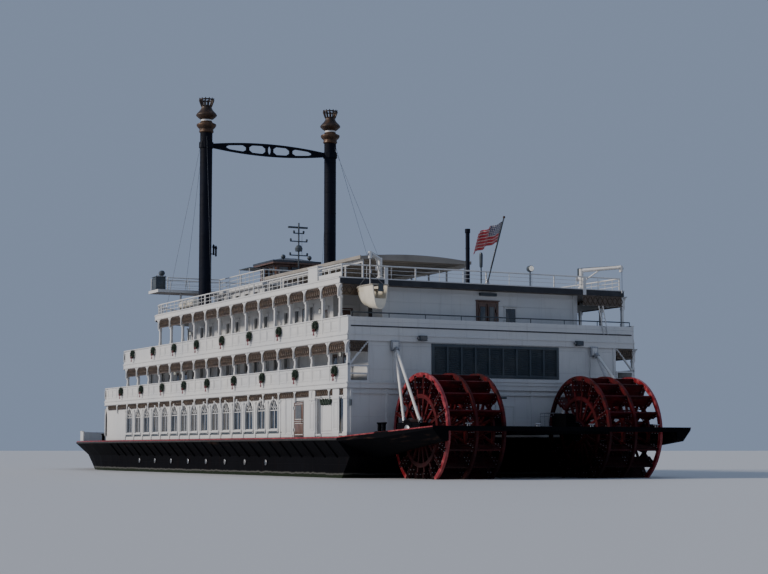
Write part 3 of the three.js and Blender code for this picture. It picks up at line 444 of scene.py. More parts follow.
def stack_black(paint):
    """Black stove paint, sooty near the top, with a blue cast and runs of rust."""
    _, _, z = paint.place()
    patches = paint.spots(0.9, 4.0, 0.35, 0.7, (1, 1, 3))
    runs = paint.spots(0.1, 3.0, 0.6, 0.8, (1, 1, 22))
    soot = z.ramp(24.0, 32.0)
    base = paint.coats(("stack", 1), (patches, ("stack", 1, (0.022, 0.028, 0.05), 0.25)),
                       (runs * 0.2, ("stack", 1, RUST, 0.3)), (soot * 0.5, (0.006, 0.006, 0.006)))
    paint.done(base, 0.5 + patches * 0.15 + soot * 0.2, paint.noise(0.3, 3.0) - runs * 0.3, 0.02)


def dark_bronze(paint):
    """Bronze darkened to brown, nearly black in the hollows and with soot on top."""
    _, _, z = paint.place()
    tarnish = paint.spots(0.28, 5.0, 0.38, 0.66)
    soot = paint.spots(0.5, 4.0, 0.3, 0.6) * z.ramp(30.4, 31.6)
    base = paint.coats(("bronze", 1), (tarnish, ("bronze", 0.35)), (soot * 0.8, (0.01, 0.01, 0.012)))
    paint.done(base, 0.42 + tarnish * 0.3, paint.noise(0.06, 3.0), 0.012, metallic=0.35 - tarnish * 0.2)


def slate_paint(paint):
    """Dark blue-grey paint with dust and streaks."""
    dust = paint.spots(0.9, 5.0, 0.4, 0.75)
    streaks = paint.spots(0.15, 3.0, 0.55, 0.75, (1, 1, 14))
    base = paint.coats(("slate", 1), (dust, ("slate", 1, (0.16, 0.17, 0.16), 0.35)),
                       (streaks * 0.4, ("slate", 0.5)))
    paint.done(base, 0.5 + dust * 0.2, paint.noise(0.2, 3.0), 0.02)


def varnished(paint):
    """Golden-brown varnished boards with grain, knots and darker joints."""
    grain = paint.noise(0.07, 5.0, (1, 14, 1))
    patches = paint.spots(1.3, 3.0, 0.35, 0.7)
    base = paint.coats(("soffit", 0.45), (grain.ramp(0.3, 0.72), ("soffit", 1.7)),
                       (patches * 0.5, ("soffit", 0.7)))
    paint.done(base, 0.36 + patches * 0.15, grain, 0.012)


def joinery(paint):
    """Reddish-brown mahogany with upright grain and satin varnish."""
    grain = paint.noise(0.045, 5.0, (1, 1, 15))
    figure = paint.spots(0.5, 3.0, 0.35, 0.7, (1, 1, 3))
    base = paint.coats(("wood", 0.5), (grain.ramp(0.3, 0.7), ("wood", 1.6)), (figure * 0.5, ("wood", 0.75)))
    paint.done(base, 0.34 + figure * 0.14, grain, 0.01)


def gelcoat(paint):
    """Cream moulded hull of the rescue boat with a scuffed keel."""
    _, _, z = paint.place()
    scuffs = paint.spots(0.18, 5.0, 0.55, 0.7, (1, 4, 1)) * z.ramp(11.6, 10.9)
    base = paint.coats((0.80, 0.73, 0.58), (paint.spots(0.7, 3.0, 0.35, 0.7), (0.704, 0.6424, 0.5104)),
                       (scuffs * 0.6, (0.36, 0.32, 0.27)))
    paint.done(base, 0.2 + scuffs * 0.4, paint.noise(0.25, 2.0), 0.01)


def bare_steel(paint):
    """Galvanised steel with spangle and light rust."""
    spangle = paint.noise(0.08, 4.0)
    rust = paint.spots(0.3, 5.0, 0.62, 0.72)
    base = paint.coats((0.26, 0.27, 0.29), (spangle.ramp(0.3, 0.7), (0.44, 0.45, 0.47)), (rust * 0.6, RUST))
    paint.done(base, 0.38 + rust * 0.3, spangle, 0.008, metallic=0.75 - rust * 0.6)


def wire(paint):
    """Galvanised wire rope with its lay as fine slanting ridges."""
    x, y, z = paint.place()
    lay = (x + y + z * 1.7).line(0.09, 0.03)
    base = paint.mix(lay, (0.20, 0.21, 0.23), (0.05, 0.05, 0.055))
    paint.done(base, 0.45 + lay * 0.1, 1.0 - lay, 0.01, metallic=0.6 - lay * 0.2)


def rope(paint):
    """Laid fibre rope, off-white with grey dirt."""
    x, y, z = paint.place()
    lay = (x * 1.3 + y + z * 1.5).line(0.12, 0.045)
    base = paint.coats((0.60, 0.55, 0.45), (lay, (0.22, 0.19, 0.15)),
                       (paint.spots(0.4, 4.0, 0.4, 0.7) * 0.4, (0.3, 0.28, 0.25)))
    paint.done(base, 0.85 - lay * 0.05, 1.0 - lay, 0.02)


def window_glass(paint):
    """Dark glass with a faint waver and, in some windows, pale curtains behind."""
    rooms = paint.spots(2.6, 1.0, 0.48, 0.56)
    folds = paint.spots(0.10, 3.0, 0.35, 0.7, (1, 1, 30))
    curtain = paint.mix(folds, (0.20, 0.185, 0.155), (0.09, 0.085, 0.075))
    dark = paint.mix(paint.spots(0.9, 3.0, 0.35, 0.7), (0.010, 0.014, 0.020), (0.028, 0.038, 0.052))
    paint.done(paint.mix(rooms * 0.65, dark, curtain), 0.07 + rooms * 0.1, paint.noise(0.7, 2.0), 0.01)


def lamp_glass(paint):
    """Milky lamp glass, brighter towards its middle, with dust."""
    dust = paint.spots(0.15, 4.0, 0.4, 0.7)
    base = paint.mix(dust, (0.86, 0.84, 0.76), (0.6, 0.57, 0.5))
    paint.done(base, 0.25 + dust * 0.3, None, 0, emission_color=base)


def evergreen(paint):
    """Needles in several greens with pale tips."""
    clumps = paint.noise(0.06, 4.0)
    base = paint.coats(("leaf", 0.55), (clumps.ramp(0.35, 0.65), ("leaf", 2.0)),
                       (paint.spots(0.03, 2.0, 0.62, 0.75) * 0.5, (0.10, 0.15, 0.08)))
    paint.done(base, 0.6 + clumps * 0.3, clumps, 0.03)


def ribbon(paint):
    """Red satin ribbon with soft creases."""
    crease = paint.noise(0.08, 3.0)
    base = paint.mix(crease.ramp(0.35, 0.7), (0.20, 0.010, 0.016), (0.09, 0.005, 0.010))
    paint.done(base, 0.4 + crease * 0.2, crease, 0.02)


def patchy(spots, first, second, rough, grain, depth):
    """A finish of two colours in patches: roughness follows them, and a finer noise gives the relief."""
    def lay(paint):
        patches = paint.spots(*spots)
        colour = paint.mix(patches, first, second)
        paint.done(colour, rough[0] + patches * rough[1], paint.noise(*grain), depth)
    return lay


def canvas(paint):
    """Taupe canvas and boarding of the canopy: fine weave, darker and greyer on top, stained along its ribs,
    and painted lighter underneath as painted light bounced up under the canopy.
    """
    x, y, _ = paint.place()
    _, _, up = paint.facing()
    stain = paint.spots(1.4, 5.0, 0.4, 0.75)
    # Painted light: the underside is a lighter taupe than the top, standing in for light bounced up under the
    # canopy.
    under = paint.mix(stain, (0.52, 0.45, 0.37), (0.42, 0.36, 0.29))
    over = paint.mix(stain, (0.40, 0.36, 0.31), (0.30, 0.27, 0.235))
    weave = x.line(0.045, 0.02) + y.line(0.045, 0.02)
    paint.done(paint.mix(up.ramp(-0.4, -0.8), over, under), 0.72 + stain * 0.12,
               weave * 0.3 + paint.noise(1.2, 2.0), 0.03)


def pilothouse_slate(paint):
    """Pilothouse roof: dark seamed metal above, brown boards under its eaves, dusty edges."""
    x, y, _ = paint.place()
    _, _, up = paint.facing()
    seam = (x + 0.2).line(0.5, 0.05).larger((y + 0.2).line(0.5, 0.05) * 0.6)
    metal = paint.coats((0.03, 0.038, 0.055), (paint.spots(0.6, 4.0, 0.35, 0.7), (0.055, 0.065, 0.085)),
                        (seam * 0.5, (0.03, 0.035, 0.045)))
    boards = paint.mix(paint.spots(0.06, 4.0, 0.3, 0.7, (1, 14, 1)), (0.13, 0.07, 0.035), (0.26, 0.15, 0.08))
    paint.done(paint.mix(up.ramp(-0.4, -0.8), metal, boards), 0.45 + seam * 0.15,
               seam * up.ramp(0.2, 0.5) + paint.noise(0.2, 3.0) * 0.3, 0.04)


def ensign_cloth(paint):
    """Thirteen stripes and a blue canton with rows of small dots, on a fine open weave; the first value
    of the map runs along the fly and the second down the hoist, both in real metres."""
    fly, hoist, _ = paint.parts(paint.coordinates("UV"))
    stripe = ENSIGN.hoist / 13
    cream = (0.78, 0.74, 0.68)
    red = (hoist / (2 * stripe)).line(1.0, 0.5 * 1.01).ramp(0.2, 0.3)
    pitch = stripe * 1.15
    dots = (fly + 0.02).line(pitch, 0.055) * (hoist + 0.02).line(pitch, 0.055)
    blue = paint.mix(dots.ramp(0.2, 0.4), ("flag_blue", 1), cream)
    canton = fly.ramp(0.93, 0.92) * hoist.ramp(stripe * 7 + 0.005, stripe * 7 - 0.005)
    weave = fly.line(0.012, 0.006) + hoist.line(0.012, 0.006)
    base = paint.coats(cream, (red, ("flag_red", 1)), (canton, blue),
                       (paint.spots(0.5, 3.0, 0.35, 0.7) * 0.12, (0.6, 0.58, 0.55)))
    paint.done(base, 0.8 + weave * 0.05, weave * 0.5 + paint.noise(0.15, 3.0), 0.008)


def studio_floor(paint):
    """Pale matt floor with the faintest unevenness."""
    cloud = paint.noise(40.0, 3.0)
    paint.done(paint.mix(cloud, (0.56, 0.57, 0.585), (0.59, 0.60, 0.61)), 0.55 + cloud * 0.1, None, 0)


def coat(weight, roughness=0.03):
    return {"Coat Weight": weight, "Coat Roughness": roughness}


# Each finish's nodes and the plain sockets of its shader
FINISHES = {
    "white": (white_paint, coat(0.12, 0.35)),
    "deck": (deck_paint, {}),
    "hull_black": (hull_paint, {"Specular IOR Level": 0.04}),
    "red": (wheel_red, {"Specular IOR Level": 0.2}),
    # Brighter pinkish red: real paint on the deck-edge line, and on the wheels' outer rims a painted
    # highlight of sun on the outboard frame.
    "rim": (patchy((0.3, 5.0, 0.45, 0.65), ("red", 2.6), ("red", 4.0, (0.4, 0.14, 0.14), 0.3), (0.28, 0.3),
                   (0.08, 3.0), 0.015), coat(0.2, 0.25)),
    "stack": (stack_black, {"Specular IOR Level": 0.1}),
    "bronze": (dark_bronze, {}),
    "slate": (slate_paint, coat(0.1)),
    # Near-black trim of the roof's stern fascia; the same finish makes the painted shadow line on the third
    # level's stern.
    "fascia": (patchy((0.7, 4.0, 0.45, 0.75), (0.014, 0.016, 0.022), (0.04, 0.042, 0.05), (0.45, 0.2),
                      (0.1, 3.0, (8, 1, 1)), 0.02), {}),
    "varnish": (varnished, coat(0.35, 0.25)),
    "joinery": (joinery, coat(0.4, 0.22)),
    "gelcoat": (gelcoat, coat(0.6, 0.1)),
    "steel": (bare_steel, {}),
    "wire": (wire, {}),
    "rope": (rope, {}),
    "glass": (window_glass, coat(1.0)),
    "lamp": (lamp_glass, {"Coat Weight": 0.6, "Emission Strength": 0.35}),
    "evergreen": (evergreen, {}),
    "ribbon": (ribbon, {"Sheen Weight": 0.4}),
    "rubber": (patchy((0.2, 5.0, 0.5, 0.75), (0.015, 0.015, 0.016), (0.075, 0.072, 0.07), (0.65, 0.2),
                      (0.05, 3.0), 0.02), {}),
    "canvas": (canvas, {"Sheen Weight": 0.2}),
    "pilothouse_metal": (pilothouse_slate, {}),
    "ensign": (ensign_cloth, {"Sheen Weight": 0.3}),
    "floor": (studio_floor, {}),
}


def finish(name):
    """The material of a name, made once."""
    if name not in bpy.data.materials:
        lay, plain = FINISHES[name]
        lay(Paint(name, plain))
    return bpy.data.materials[name]


# Shapes are pairs of points (n, 3) and a list of face blocks (m, corners), all as arrays.
BOX = np.array(((0, 2, 3, 1), (4, 5, 7, 6), (0, 1, 5, 4), (2, 6, 7, 3), (0, 4, 6, 2), (1, 3, 7, 5)))
CORNERS = np.array([(i & 1, i >> 1 & 1, i >> 2 & 1) for i in range(8)], bool)


def at(x, y, z):
    """Points whose coordinates are single numbers or rows of them."""
    return np.stack(np.broadcast_arrays(x, y, z), -1).astype(float)


def every(xs, ys, zs):
    """Points at every combination of coordinates."""
    return np.stack(np.meshgrid(xs, ys, zs, indexing="ij"), -1).reshape(-1, 3)


def either_way(xs, reach):
    """Each number less a reach, and each with it."""
    return (xs[:, None] + np.array((-reach, reach))).ravel()


def joined(*shapes):
    """Several shapes as one."""
    starts = np.cumsum([0] + [len(points) for points, _ in shapes])
    faces = [block + start for (_, faces), start in zip(shapes, starts) for block in faces]
    return np.concatenate([points for points, _ in shapes]), faces


def moved(shape, x=0.0, y=0.0, z=0.0):
    return shape[0] + np.array((x, y, z)), shape[1]


def mirrored(shape):
    """The same shape on the other side: x changes its sign and every face is read backwards."""
    return shape[0] * np.array((-1.0, 1.0, 1.0)), [block[:, ::-1] for block in shape[1]]


def both_sides(shape):
    return joined(shape, mirrored(shape))


def blocks(low, high):
    """Boxes between pairs of opposite corners: each corner takes one of the two limits on each axis."""
    low, high = np.broadcast_arrays(np.atleast_2d(low).astype(float), np.atleast_2d(high))
    least, most = np.minimum(low, high), np.maximum(low, high)
    points = np.where(CORNERS[None], most[:, None], least[:, None])
    faces = BOX[None] + 8 * np.arange(len(low))[:, None, None]
    return points.reshape(-1, 3), [faces.reshape(-1, 4)]


def boxes(low, size):
    """Boxes of one size, each from its lowest corner."""
    return blocks(low, low + np.array(size))


def slab(half, y0, y1, z0, z1):
    """A box across the middle, from -half to half."""
    return blocks((-half, y0, z0), (half, y1, z1))


def oblong(x0, x1, y0, y1):
    """The corners of a rectangle, counter-clockwise."""
    return np.array(((x0, y0), (x1, y0), (x1, y1), (x0, y1)), float)


def grid_faces(rows, columns, close_rows=False, close_columns=True):
    """Quads between the neighbours of a grid, wrapping round where it closes."""
    row = np.arange(rows if close_rows else rows - 1)[:, None]
    column = np.arange(columns if close_columns else columns - 1)[None]
    after, beside = (row + 1) % rows, (column + 1) % columns
    corners = (row * columns + column, row * columns + beside, after * columns + beside,
               after * columns + column)
    return np.stack(np.broadcast_arrays(*corners), -1).reshape(-1, 4)


def skin(rings, close_rows=False):
    """A closed surface through rings of equal count (rows, columns, 3), with flat ends."""
    rows, columns = rings.shape[:2]
    faces = [grid_faces(rows, columns, close_rows)]
    if not close_rows:
        faces += [np.arange(columns)[::-1][None], (rows - 1) * columns + np.arange(columns)[None]]
    return rings.reshape(-1, 3), faces


def unit(vectors):
    return vectors / np.linalg.norm(vectors, axis=-1, keepdims=True)


def steps_round(count):
    return np.arange(count) * 2 * np.pi / count


def circle(count):
    """Cosines and sines of equal steps round a circle."""
    return np.cos(steps_round(count)), np.sin(steps_round(count))


def bars(starts, ends, radius, sides=8, tip=None):
    """Round bars between pairs of points: a ring about each end, square to the bar, both ends shut."""
    starts, ends = np.broadcast_arrays(np.atleast_2d(starts).astype(float), np.atleast_2d(ends))
    along = unit(ends - starts)
    side = unit(np.cross(np.where(np.abs(along[:, 2:]) > 0.9, OUTWARD, UP), along))
    other = np.cross(along, side)
    cosine, sine = circle(sides)
    ring = cosine[:, None] * side[:, None] + sine[:, None] * other[:, None]
    near = np.broadcast_to(radius, len(starts))[:, None, None]
    far = near if tip is None else np.broadcast_to(tip, len(starts))[:, None, None]
    points = np.stack([starts[:, None] + near * ring, ends[:, None] + far * ring], 1)
    first = (2 * sides * np.arange(len(starts)))[:, None, None]
    faces = [(block[None] + first).reshape(-1, block.shape[1])
             for block in skin(np.zeros((2, sides, 3)))[1]]
    return points.reshape(-1, 3), faces


def tube(path, radius, sides=10, closed=False, reference=UP):
    """A round section carried along a path, square to it. The reference is never along the path."""
    path = np.asarray(path, float)
    along = unit(np.roll(path, -1, 0) - np.roll(path, 1, 0) if closed else np.gradient(path, axis=0))
    side = unit(np.cross(np.broadcast_to(reference, path.shape), along))
    other = np.cross(along, side)
    cosine, sine = circle(sides)
    radius = np.broadcast_to(radius, len(path))[:, None, None]
    rings = path[:, None] + radius * (cosine[:, None] * side[:, None] + sine[:, None] * other[:, None])
    return skin(rings, closed)


def turned(profile, sides=24, axis=UP):
    """A profile of (radius, height) turned about an upright axis, or about another one, both ends shut."""
    profile = np.asarray(profile, float)
    cosine, sine = circle(sides)
    local = at(profile[:, :1] * cosine, profile[:, :1] * sine, profile[:, 1:])
    if axis is not UP:
        side = unit(np.cross(axis, UP))
        local = local @ np.stack([side, np.cross(axis, side), axis])
    return skin(local)


def prism(outline, low, high):
    """A counter-clockwise outline in plan carried up from low to high."""
    outline = np.asarray(outline, float)
    return skin(at(outline[:, 0], outline[:, 1], np.array((low, high))[:, None]))


def moulding(line, section, closed=False):
    """A counter-clockwise section of (out, up) carried along a line and mitred at its corners. Out is to
    the left of the way the line runs in plan."""
    line, section = np.asarray(line, float), np.asarray(section, float)
    steps = unit((np.roll(line, -1, 0) - line)[:, :2])
    left = np.stack([-steps[:, 1], steps[:, 0]], 1)
    before = np.roll(left, 1, 0)
    if not closed:
        left[-1], before[0] = left[-2], left[0]
    mitre = (left + before) / (1 + np.sum(left * before, 1, keepdims=True))
    rings = np.repeat(line[:, None], len(section), 1)
    rings[..., :2] += section[None, :, :1] * mitre[:, None]
    rings[..., 2] += section[None, :, 1]
    return skin(rings, closed)


def copies(shape, places, turns=None):
    """Copies of a shape at places, each turned by its own matrix."""
    points, faces = shape
    places = np.atleast_2d(places).astype(float)
    local = points[None] if turns is None else np.einsum("nij,pj->npi", turns, points)
    first = (len(points) * np.arange(len(places)))[:, None, None]
    return ((local + places[:, None]).reshape(-1, 3),
            [(block[None] + first).reshape(-1, block.shape[1]) for block in faces])


def upright(shape, places, outs):
    """Copies of a shape drawn in (along, up, out), stood against walls that face the ways given."""
    places, outs = np.broadcast_arrays(np.atleast_2d(places).astype(float), np.atleast_2d(outs))
    turns = np.stack([np.cross(UP, outs), np.broadcast_to(UP, outs.shape), outs], 2)
    return copies(shape, places, turns)


def around(shape, count, upright_axis=False):
    """Copies turned in even steps about the X axis, from y towards z, or about the upright one, from x
    towards y."""
    cosine, sine = circle(count)
    turns = np.zeros((count, 3, 3))
    turns[:, 0, 0] = 1
    turns[:, 1, 1] = turns[:, 2, 2] = cosine
    turns[:, 2, 1], turns[:, 1, 2] = sine, -sine
    return copies(shape, np.zeros((count, 3)), np.roll(turns, (-1, -1), (1, 2)) if upright_axis else turns)


def model_points(points):
    """Points of the real vessel in the model's own frame, as a list."""
    return ((points + np.array((0.0, -MIDDLE_Y, DRAFT))) * SCALE).tolist()


def placed(name, mesh, body="vessel"):
    """A new object for a mesh: its place is in the mesh, and it rides on a body."""
    mesh.shade_smooth()
    piece = bpy.data.objects.new(name, mesh)
    bpy.context.scene.collection.objects.link(piece)
    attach(piece, body)
    return piece


class Form:
    """A piece in the making: shapes in real metres, each with its finish."""

    def __init__(self):
        self.shapes, self.finishes = [], []

    def add(self, finish_name, *shapes):
        self.shapes += shapes
        self.finishes += [finish_name] * len(shapes)
        return self

    def both(self, finish_name, *shapes):
        """Adds shapes of the starboard side and their mirror images."""
        return self.add(finish_name, *map(both_sides, shapes))

    def stand(self, finish_name, spots, *shapes):
        """Adds shapes drawn in (along, up, out) at spots: places, and the ways that they face."""
        return self.add(finish_name, *[upright(shape, *spots) for shape in shapes])

    def window(self, spots, opening, glass=(0.0, 0.02), sash=None, border=(0.0, 0.11), wood="white"):
        """Adds an opening's casing, its pane from one depth to another and its sashes, if it has any."""
        self.stand(wood, spots, casing(*opening, *border))
        if sash is not None:
            self.stand(wood, spots, sashes(*opening, sash))
        return self.stand("glass", spots, pane(*opening, *glass))

    def make(self, name, slot, body="vessel", sharp=35.0):
        """The finished object, with edges sharper than an angle kept sharp."""
        points, faces = joined(*self.shapes)
        names = list(dict.fromkeys(self.finishes))
        mesh = bpy.data.meshes.new(name)
        mesh.from_pydata(model_points(points), [], [face for block in faces for face in block.tolist()])
        counts = [sum(len(block) for block in shape[1]) for shape in self.shapes]
        numbers = np.repeat([names.index(finish_name) for finish_name in self.finishes], counts)
        mesh.polygons.foreach_set("material_index", numbers.astype(np.int32))
        for finish_name in names:
            mesh.materials.append(finish(finish_name))
        mesh.update()
        piece = placed(name, mesh, body)
        mesh.set_sharp_from_angle(angle=math.radians(sharp))
        return piece


def edge_line(plan, z, inset=0.0, steps=40):
    """A deck's edge from the port aft corner round the bow to the starboard one: straight sides and
    x = half cos t, y = shoulder + reach sin t."""
    turn = np.linspace(np.pi, 0.0, steps + 1)
    half, reach = plan.half - inset, plan.front - plan.shoulder - inset
    aft = plan.aft + inset
    curve = at(half * np.cos(turn), plan.shoulder + reach * np.sin(turn), z)
    return np.concatenate([[(-half, aft, z)], curve, [(half, aft, z)]])


def bow_places(plan, angles, z=0.0, out=0.0):
    """Points on a rounded front and the ways that it faces there."""
    half, reach = plan.half, plan.front - plan.shoulder
    faces = unit(at(np.cos(angles) / half, np.sin(angles) / reach, 0.0))
    points = at(half * np.cos(angles), plan.shoulder + reach * np.sin(angles), z)
    return points + out * faces, faces


def side_places(half, ys, z=0.0):
    """Points on both straight sides and the ways that they face."""
    sign = np.repeat((-1.0, 1.0), np.size(ys))
    return at(sign * half, np.tile(ys, 2), z), at(sign, 0, 0)


def window_middles(level):
    first, last, pitch = WINDOWS[level][:3]
    return np.arange(first, last + pitch / 2, pitch)


def gallery_posts(level):
    """Middles of the posts along one straight side."""
    gallery = GALLERIES[level]
    start = max(DECKS[level].aft, gallery.cover.aft)
    return np.linspace(start + POST / 2, gallery.cover.shoulder - POST / 2, gallery.bays + 1)


def run(points, radius, sides=8, closed=False):
    """Straight round bars from each point of a line to the next."""
    points = np.asarray(points, float)
    ends = np.roll(points, -1, 0)
    return bars(points, ends, radius, sides) if closed else bars(points[:-1], ends[:-1], radius, sides)


def spaced(points, pitch):
    """Points at an even spacing along a line, ends included."""
    points = np.asarray(points, float)
    reach = np.concatenate([[0], np.cumsum(np.linalg.norm(np.diff(points, axis=0), axis=1))])
    steps = np.linspace(0, reach[-1], max(2, int(round(reach[-1] / pitch)) + 1))
    return at(*[np.interp(steps, reach, points[:, i]) for i in range(3)])


def hoop(x0, x1, r0, r1, sides=64):
    """A flat ring about the X axis: a rectangle of x0 to x1 by r0 to r1 carried round a circle."""
    cosine, sine = circle(sides)
    x, r = oblong(x0, x1, r0, r1).T
    return skin(at(x, cosine[:, None] * r, sine[:, None] * r), True)


def ball(radius, z, sides=16):
    """A ball about the upright axis: radius sin t at height z - radius cos t."""
    t = np.linspace(0.12, np.pi - 0.12, 9)
    return turned(np.stack([radius * np.sin(t), z - radius * np.cos(t)], 1), sides)


def arch_line(width, sill, head, arched, z=0.0, steps=16):
    """A window's outline, clockwise: up the left side, over a half circle or a flat head, and down."""
    half = width / 2
    if not arched:
        return np.array(((-half, sill, z), (-half, head, z), (half, head, z), (half, sill, z)))
    turn = np.linspace(np.pi, 0, steps + 1)
    top = at(half * np.cos(turn), head - half + half * np.sin(turn), z)
    return np.concatenate([[(-half, sill, z)], top, [(half, sill, z)]])


def pane(width, sill, head, arched, low, high):
    """Glass that fills an opening and laps 2 cm into its sides."""
    return prism(arch_line(width + 0.04, sill - 0.02, head + 0.02, arched)[::-1, :2], low, high)


def casing(width, sill, head, arched, face=0.0, size=0.11):
    """Moulded frame round an opening, with a sill on two corbels and a keystone or cornice."""
    section = ((0, 0), (size, 0), (size, 0.05), (size * 0.6, 0.08), (size * 0.25, 0.06), (0, 0.06))
    half = width / 2 + size
    parts = [moulding(arch_line(width, sill, head, arched, face), section, True),
             slab(half + 0.05, sill - 0.12, sill, face, face + 0.12),
             blocks(((-half, sill - 0.22, face), (half - 0.1, sill - 0.22, face)),
                    ((-half + 0.1, sill - 0.12, face + 0.08), (half, sill - 0.12, face + 0.08)))]
    if arched:
        key = ((-0.07, head - 0.03), (0.07, head - 0.03), (0.11, head + 0.2), (-0.11, head + 0.2))
        parts.append(prism(key, face, face + 0.12))
    else:
        top = head + size
        parts += [slab(half + 0.06, top + 0.03, top + 0.09, face, face + 0.14),
                  slab(half, top, top + 0.03, face, face + 0.09)]
    return joined(*parts)


def sashes(width, sill, head, arched, low, bar=0.05):
    """Glazing bars: a middle upright, a transom, and rays in an arched head."""
    half = width / 2
    spring = head - half if arched else sill + (head - sill) * 0.55
    parts = [slab(bar / 2, sill, spring if arched else head, low, low + 0.04),
             slab(half, spring - bar / 2, spring + bar / 2, low, low + 0.045),
             slab(half, sill, sill + bar, low, low + 0.045)]
    if arched:
        def fan(radius, turn):
            return at(radius * np.cos(turn), spring + radius * np.sin(turn), low + 0.02)
        turn = np.radians((30, 60, 90, 120, 150))
        parts += [bars(fan(0.28 * half, turn), fan(half, turn), bar / 2, 6),
                  run(fan(0.28 * half, np.linspace(0, np.pi, 9)), bar / 2, 6)]
    return joined(*parts)


def bracket(reach, drop, low, high, steps=8):
    """A spandrel bracket to the right of a post: a right angle whose third side is the hollow curve
    (reach - reach cos t, -drop + drop sin t)."""
    t = np.linspace(0, np.pi / 2, steps + 1)
    curve = np.stack([reach - reach * np.cos(t), -drop + drop * np.sin(t)], 1)
    return prism(np.concatenate([[(0, 0)], curve]), low, high)


def panelled(width, height, x=None, y=0.0, low=0.0, depth=0.025, frame=0.09):
    """A raised panel with its lower left corner at (x, y), or with its middle over x = 0: a flat border
    of four boards with a bevelled middle."""
    w, h, top = width, height, low + depth
    border = blocks(((0, 0, low), (0, h - frame, low), (0, frame, low), (w - frame, frame, low)),
                    ((w, frame, top), (w, h, top), (frame, h - frame, top), (w, h - frame, top)))
    inset, slope = frame + 0.05, 0.05
    rings = np.array([[(i, i, z), (w - i, i, z), (w - i, h - i, z), (i, h - i, z)]
                      for i, z in ((inset, low), (inset + slope, top))])
    return moved(joined(border, skin(rings)), -w / 2 if x is None else x, y)


def balustrade(line, floor, height, pitch):
    """Balusters and two middle rails under a top rail, along a line in plan."""
    line = at(*np.asarray(line, float)[:, :2].T, floor)
    feet = spaced(line, pitch)
    knobs = copies(turned(((0.016, 0.42), (0.034, 0.46), (0.034, 0.5), (0.016, 0.54)), 6), feet)
    return joined(bars(feet, feet + (height - 0.03) * UP, 0.017, 6), knobs,
                  run(line + 0.12 * UP, 0.024, 6), run(line + (height - 0.2) * UP, 0.02, 6))


class HullTrim(bpy.types.Operator):
    """Adds the red line and rubber belt round the deck edge and the knees under the guard"""
    bl_idname = "showboat.hull_trim"
    bl_label = "Hull trim"

    def execute(self, context):
        edge = edge_line(GUARD, GUARD.top)
        turn = np.linspace(-np.pi / 2, np.pi / 2, 9)
        belt = 0.07 * np.column_stack([np.cos(turn), np.sin(turn)])
        knees = at(11.0, np.arange(*KNEES), 1.36)
        ports = side_places(11.04, np.arange(*PORTS), 0.95)
        form = Form().add("rim", moulding(edge - 0.1 * UP, oblong(-0.02, 0.03, 0, 0.085)))
        form.add("rubber", moulding(edge - 0.18 * UP, belt))
        form.both("hull_black", bars(knees, knees + (0.88, 0, 1.06), 0.07))
        form.both("rim", moulding(OUTRIGGER - 0.07 * UP, oblong(-0.02, 0.03, 0, 0.075)))
        form.stand("glass", ports, turned(((0.15, 0), (0.15, 0.03)), 20))
        form.stand("steel", ports, turned(((0.2, 0), (0.2, 0.035), (0.17, 0.05), (0.17, 0.0)), 20))
        form.make("hull_trim", "hull_paint")
        return {"FINISHED"}


class DeckMouldings(bpy.types.Operator):
    """Adds cornices round the deck edges, the black fascia across the stern and the soffit beams"""
    bl_idname = "showboat.deck_mouldings"
    bl_label = "Deck mouldings"

    def execute(self, context):
        form, beams = Form(), Form()
        for deck in DECKS.values():
            high = deck.top - deck.bottom
            section = ((-0.02, 0), (0.05, 0), (0.09, 0.05), (0.05, 0.11), (0.05, high - 0.12),
                       (0.1, high - 0.07), (0.1, high), (-0.02, high))
            form.add("white", moulding(edge_line(deck, deck.bottom), section),
                     slab(deck.half, deck.aft - 0.05, deck.aft + 0.02, deck.top - 0.07, deck.top))
        roof, third = DECKS["roof"], DECKS["third"]
        form.add("fascia", slab(roof.half, roof.aft - 0.06, roof.aft + 0.02, roof.bottom, roof.top - 0.08))
        # A thin dark strip across the third level's stern: a painted shadow line under its bulwark panel.
        form.add("fascia", slab(third.half - 0.2, third.aft - 0.03, third.aft + 0.01, third.top + 0.46,
                                third.top + 0.54))
        form.make("deck_mouldings", "white_paint")
        for level, gallery in GALLERIES.items():
            inner, cover = HOUSES[level].half, gallery.cover
            beams.both("varnish", boxes(at(inner, gallery_posts(level) - 0.06, cover.bottom - 0.2),
                                        (cover.half - 0.14 - inner, 0.12, 0.2)))
        ys = np.arange(0.5, 50.0, MAIN_PITCH) - 0.05
        beams.both("varnish", boxes(at(9.85, ys, 5.69), (1.1, 0.1, 0.16)))
        beams.make("soffit_beams", "brown_joinery")
        return {"FINISHED"}


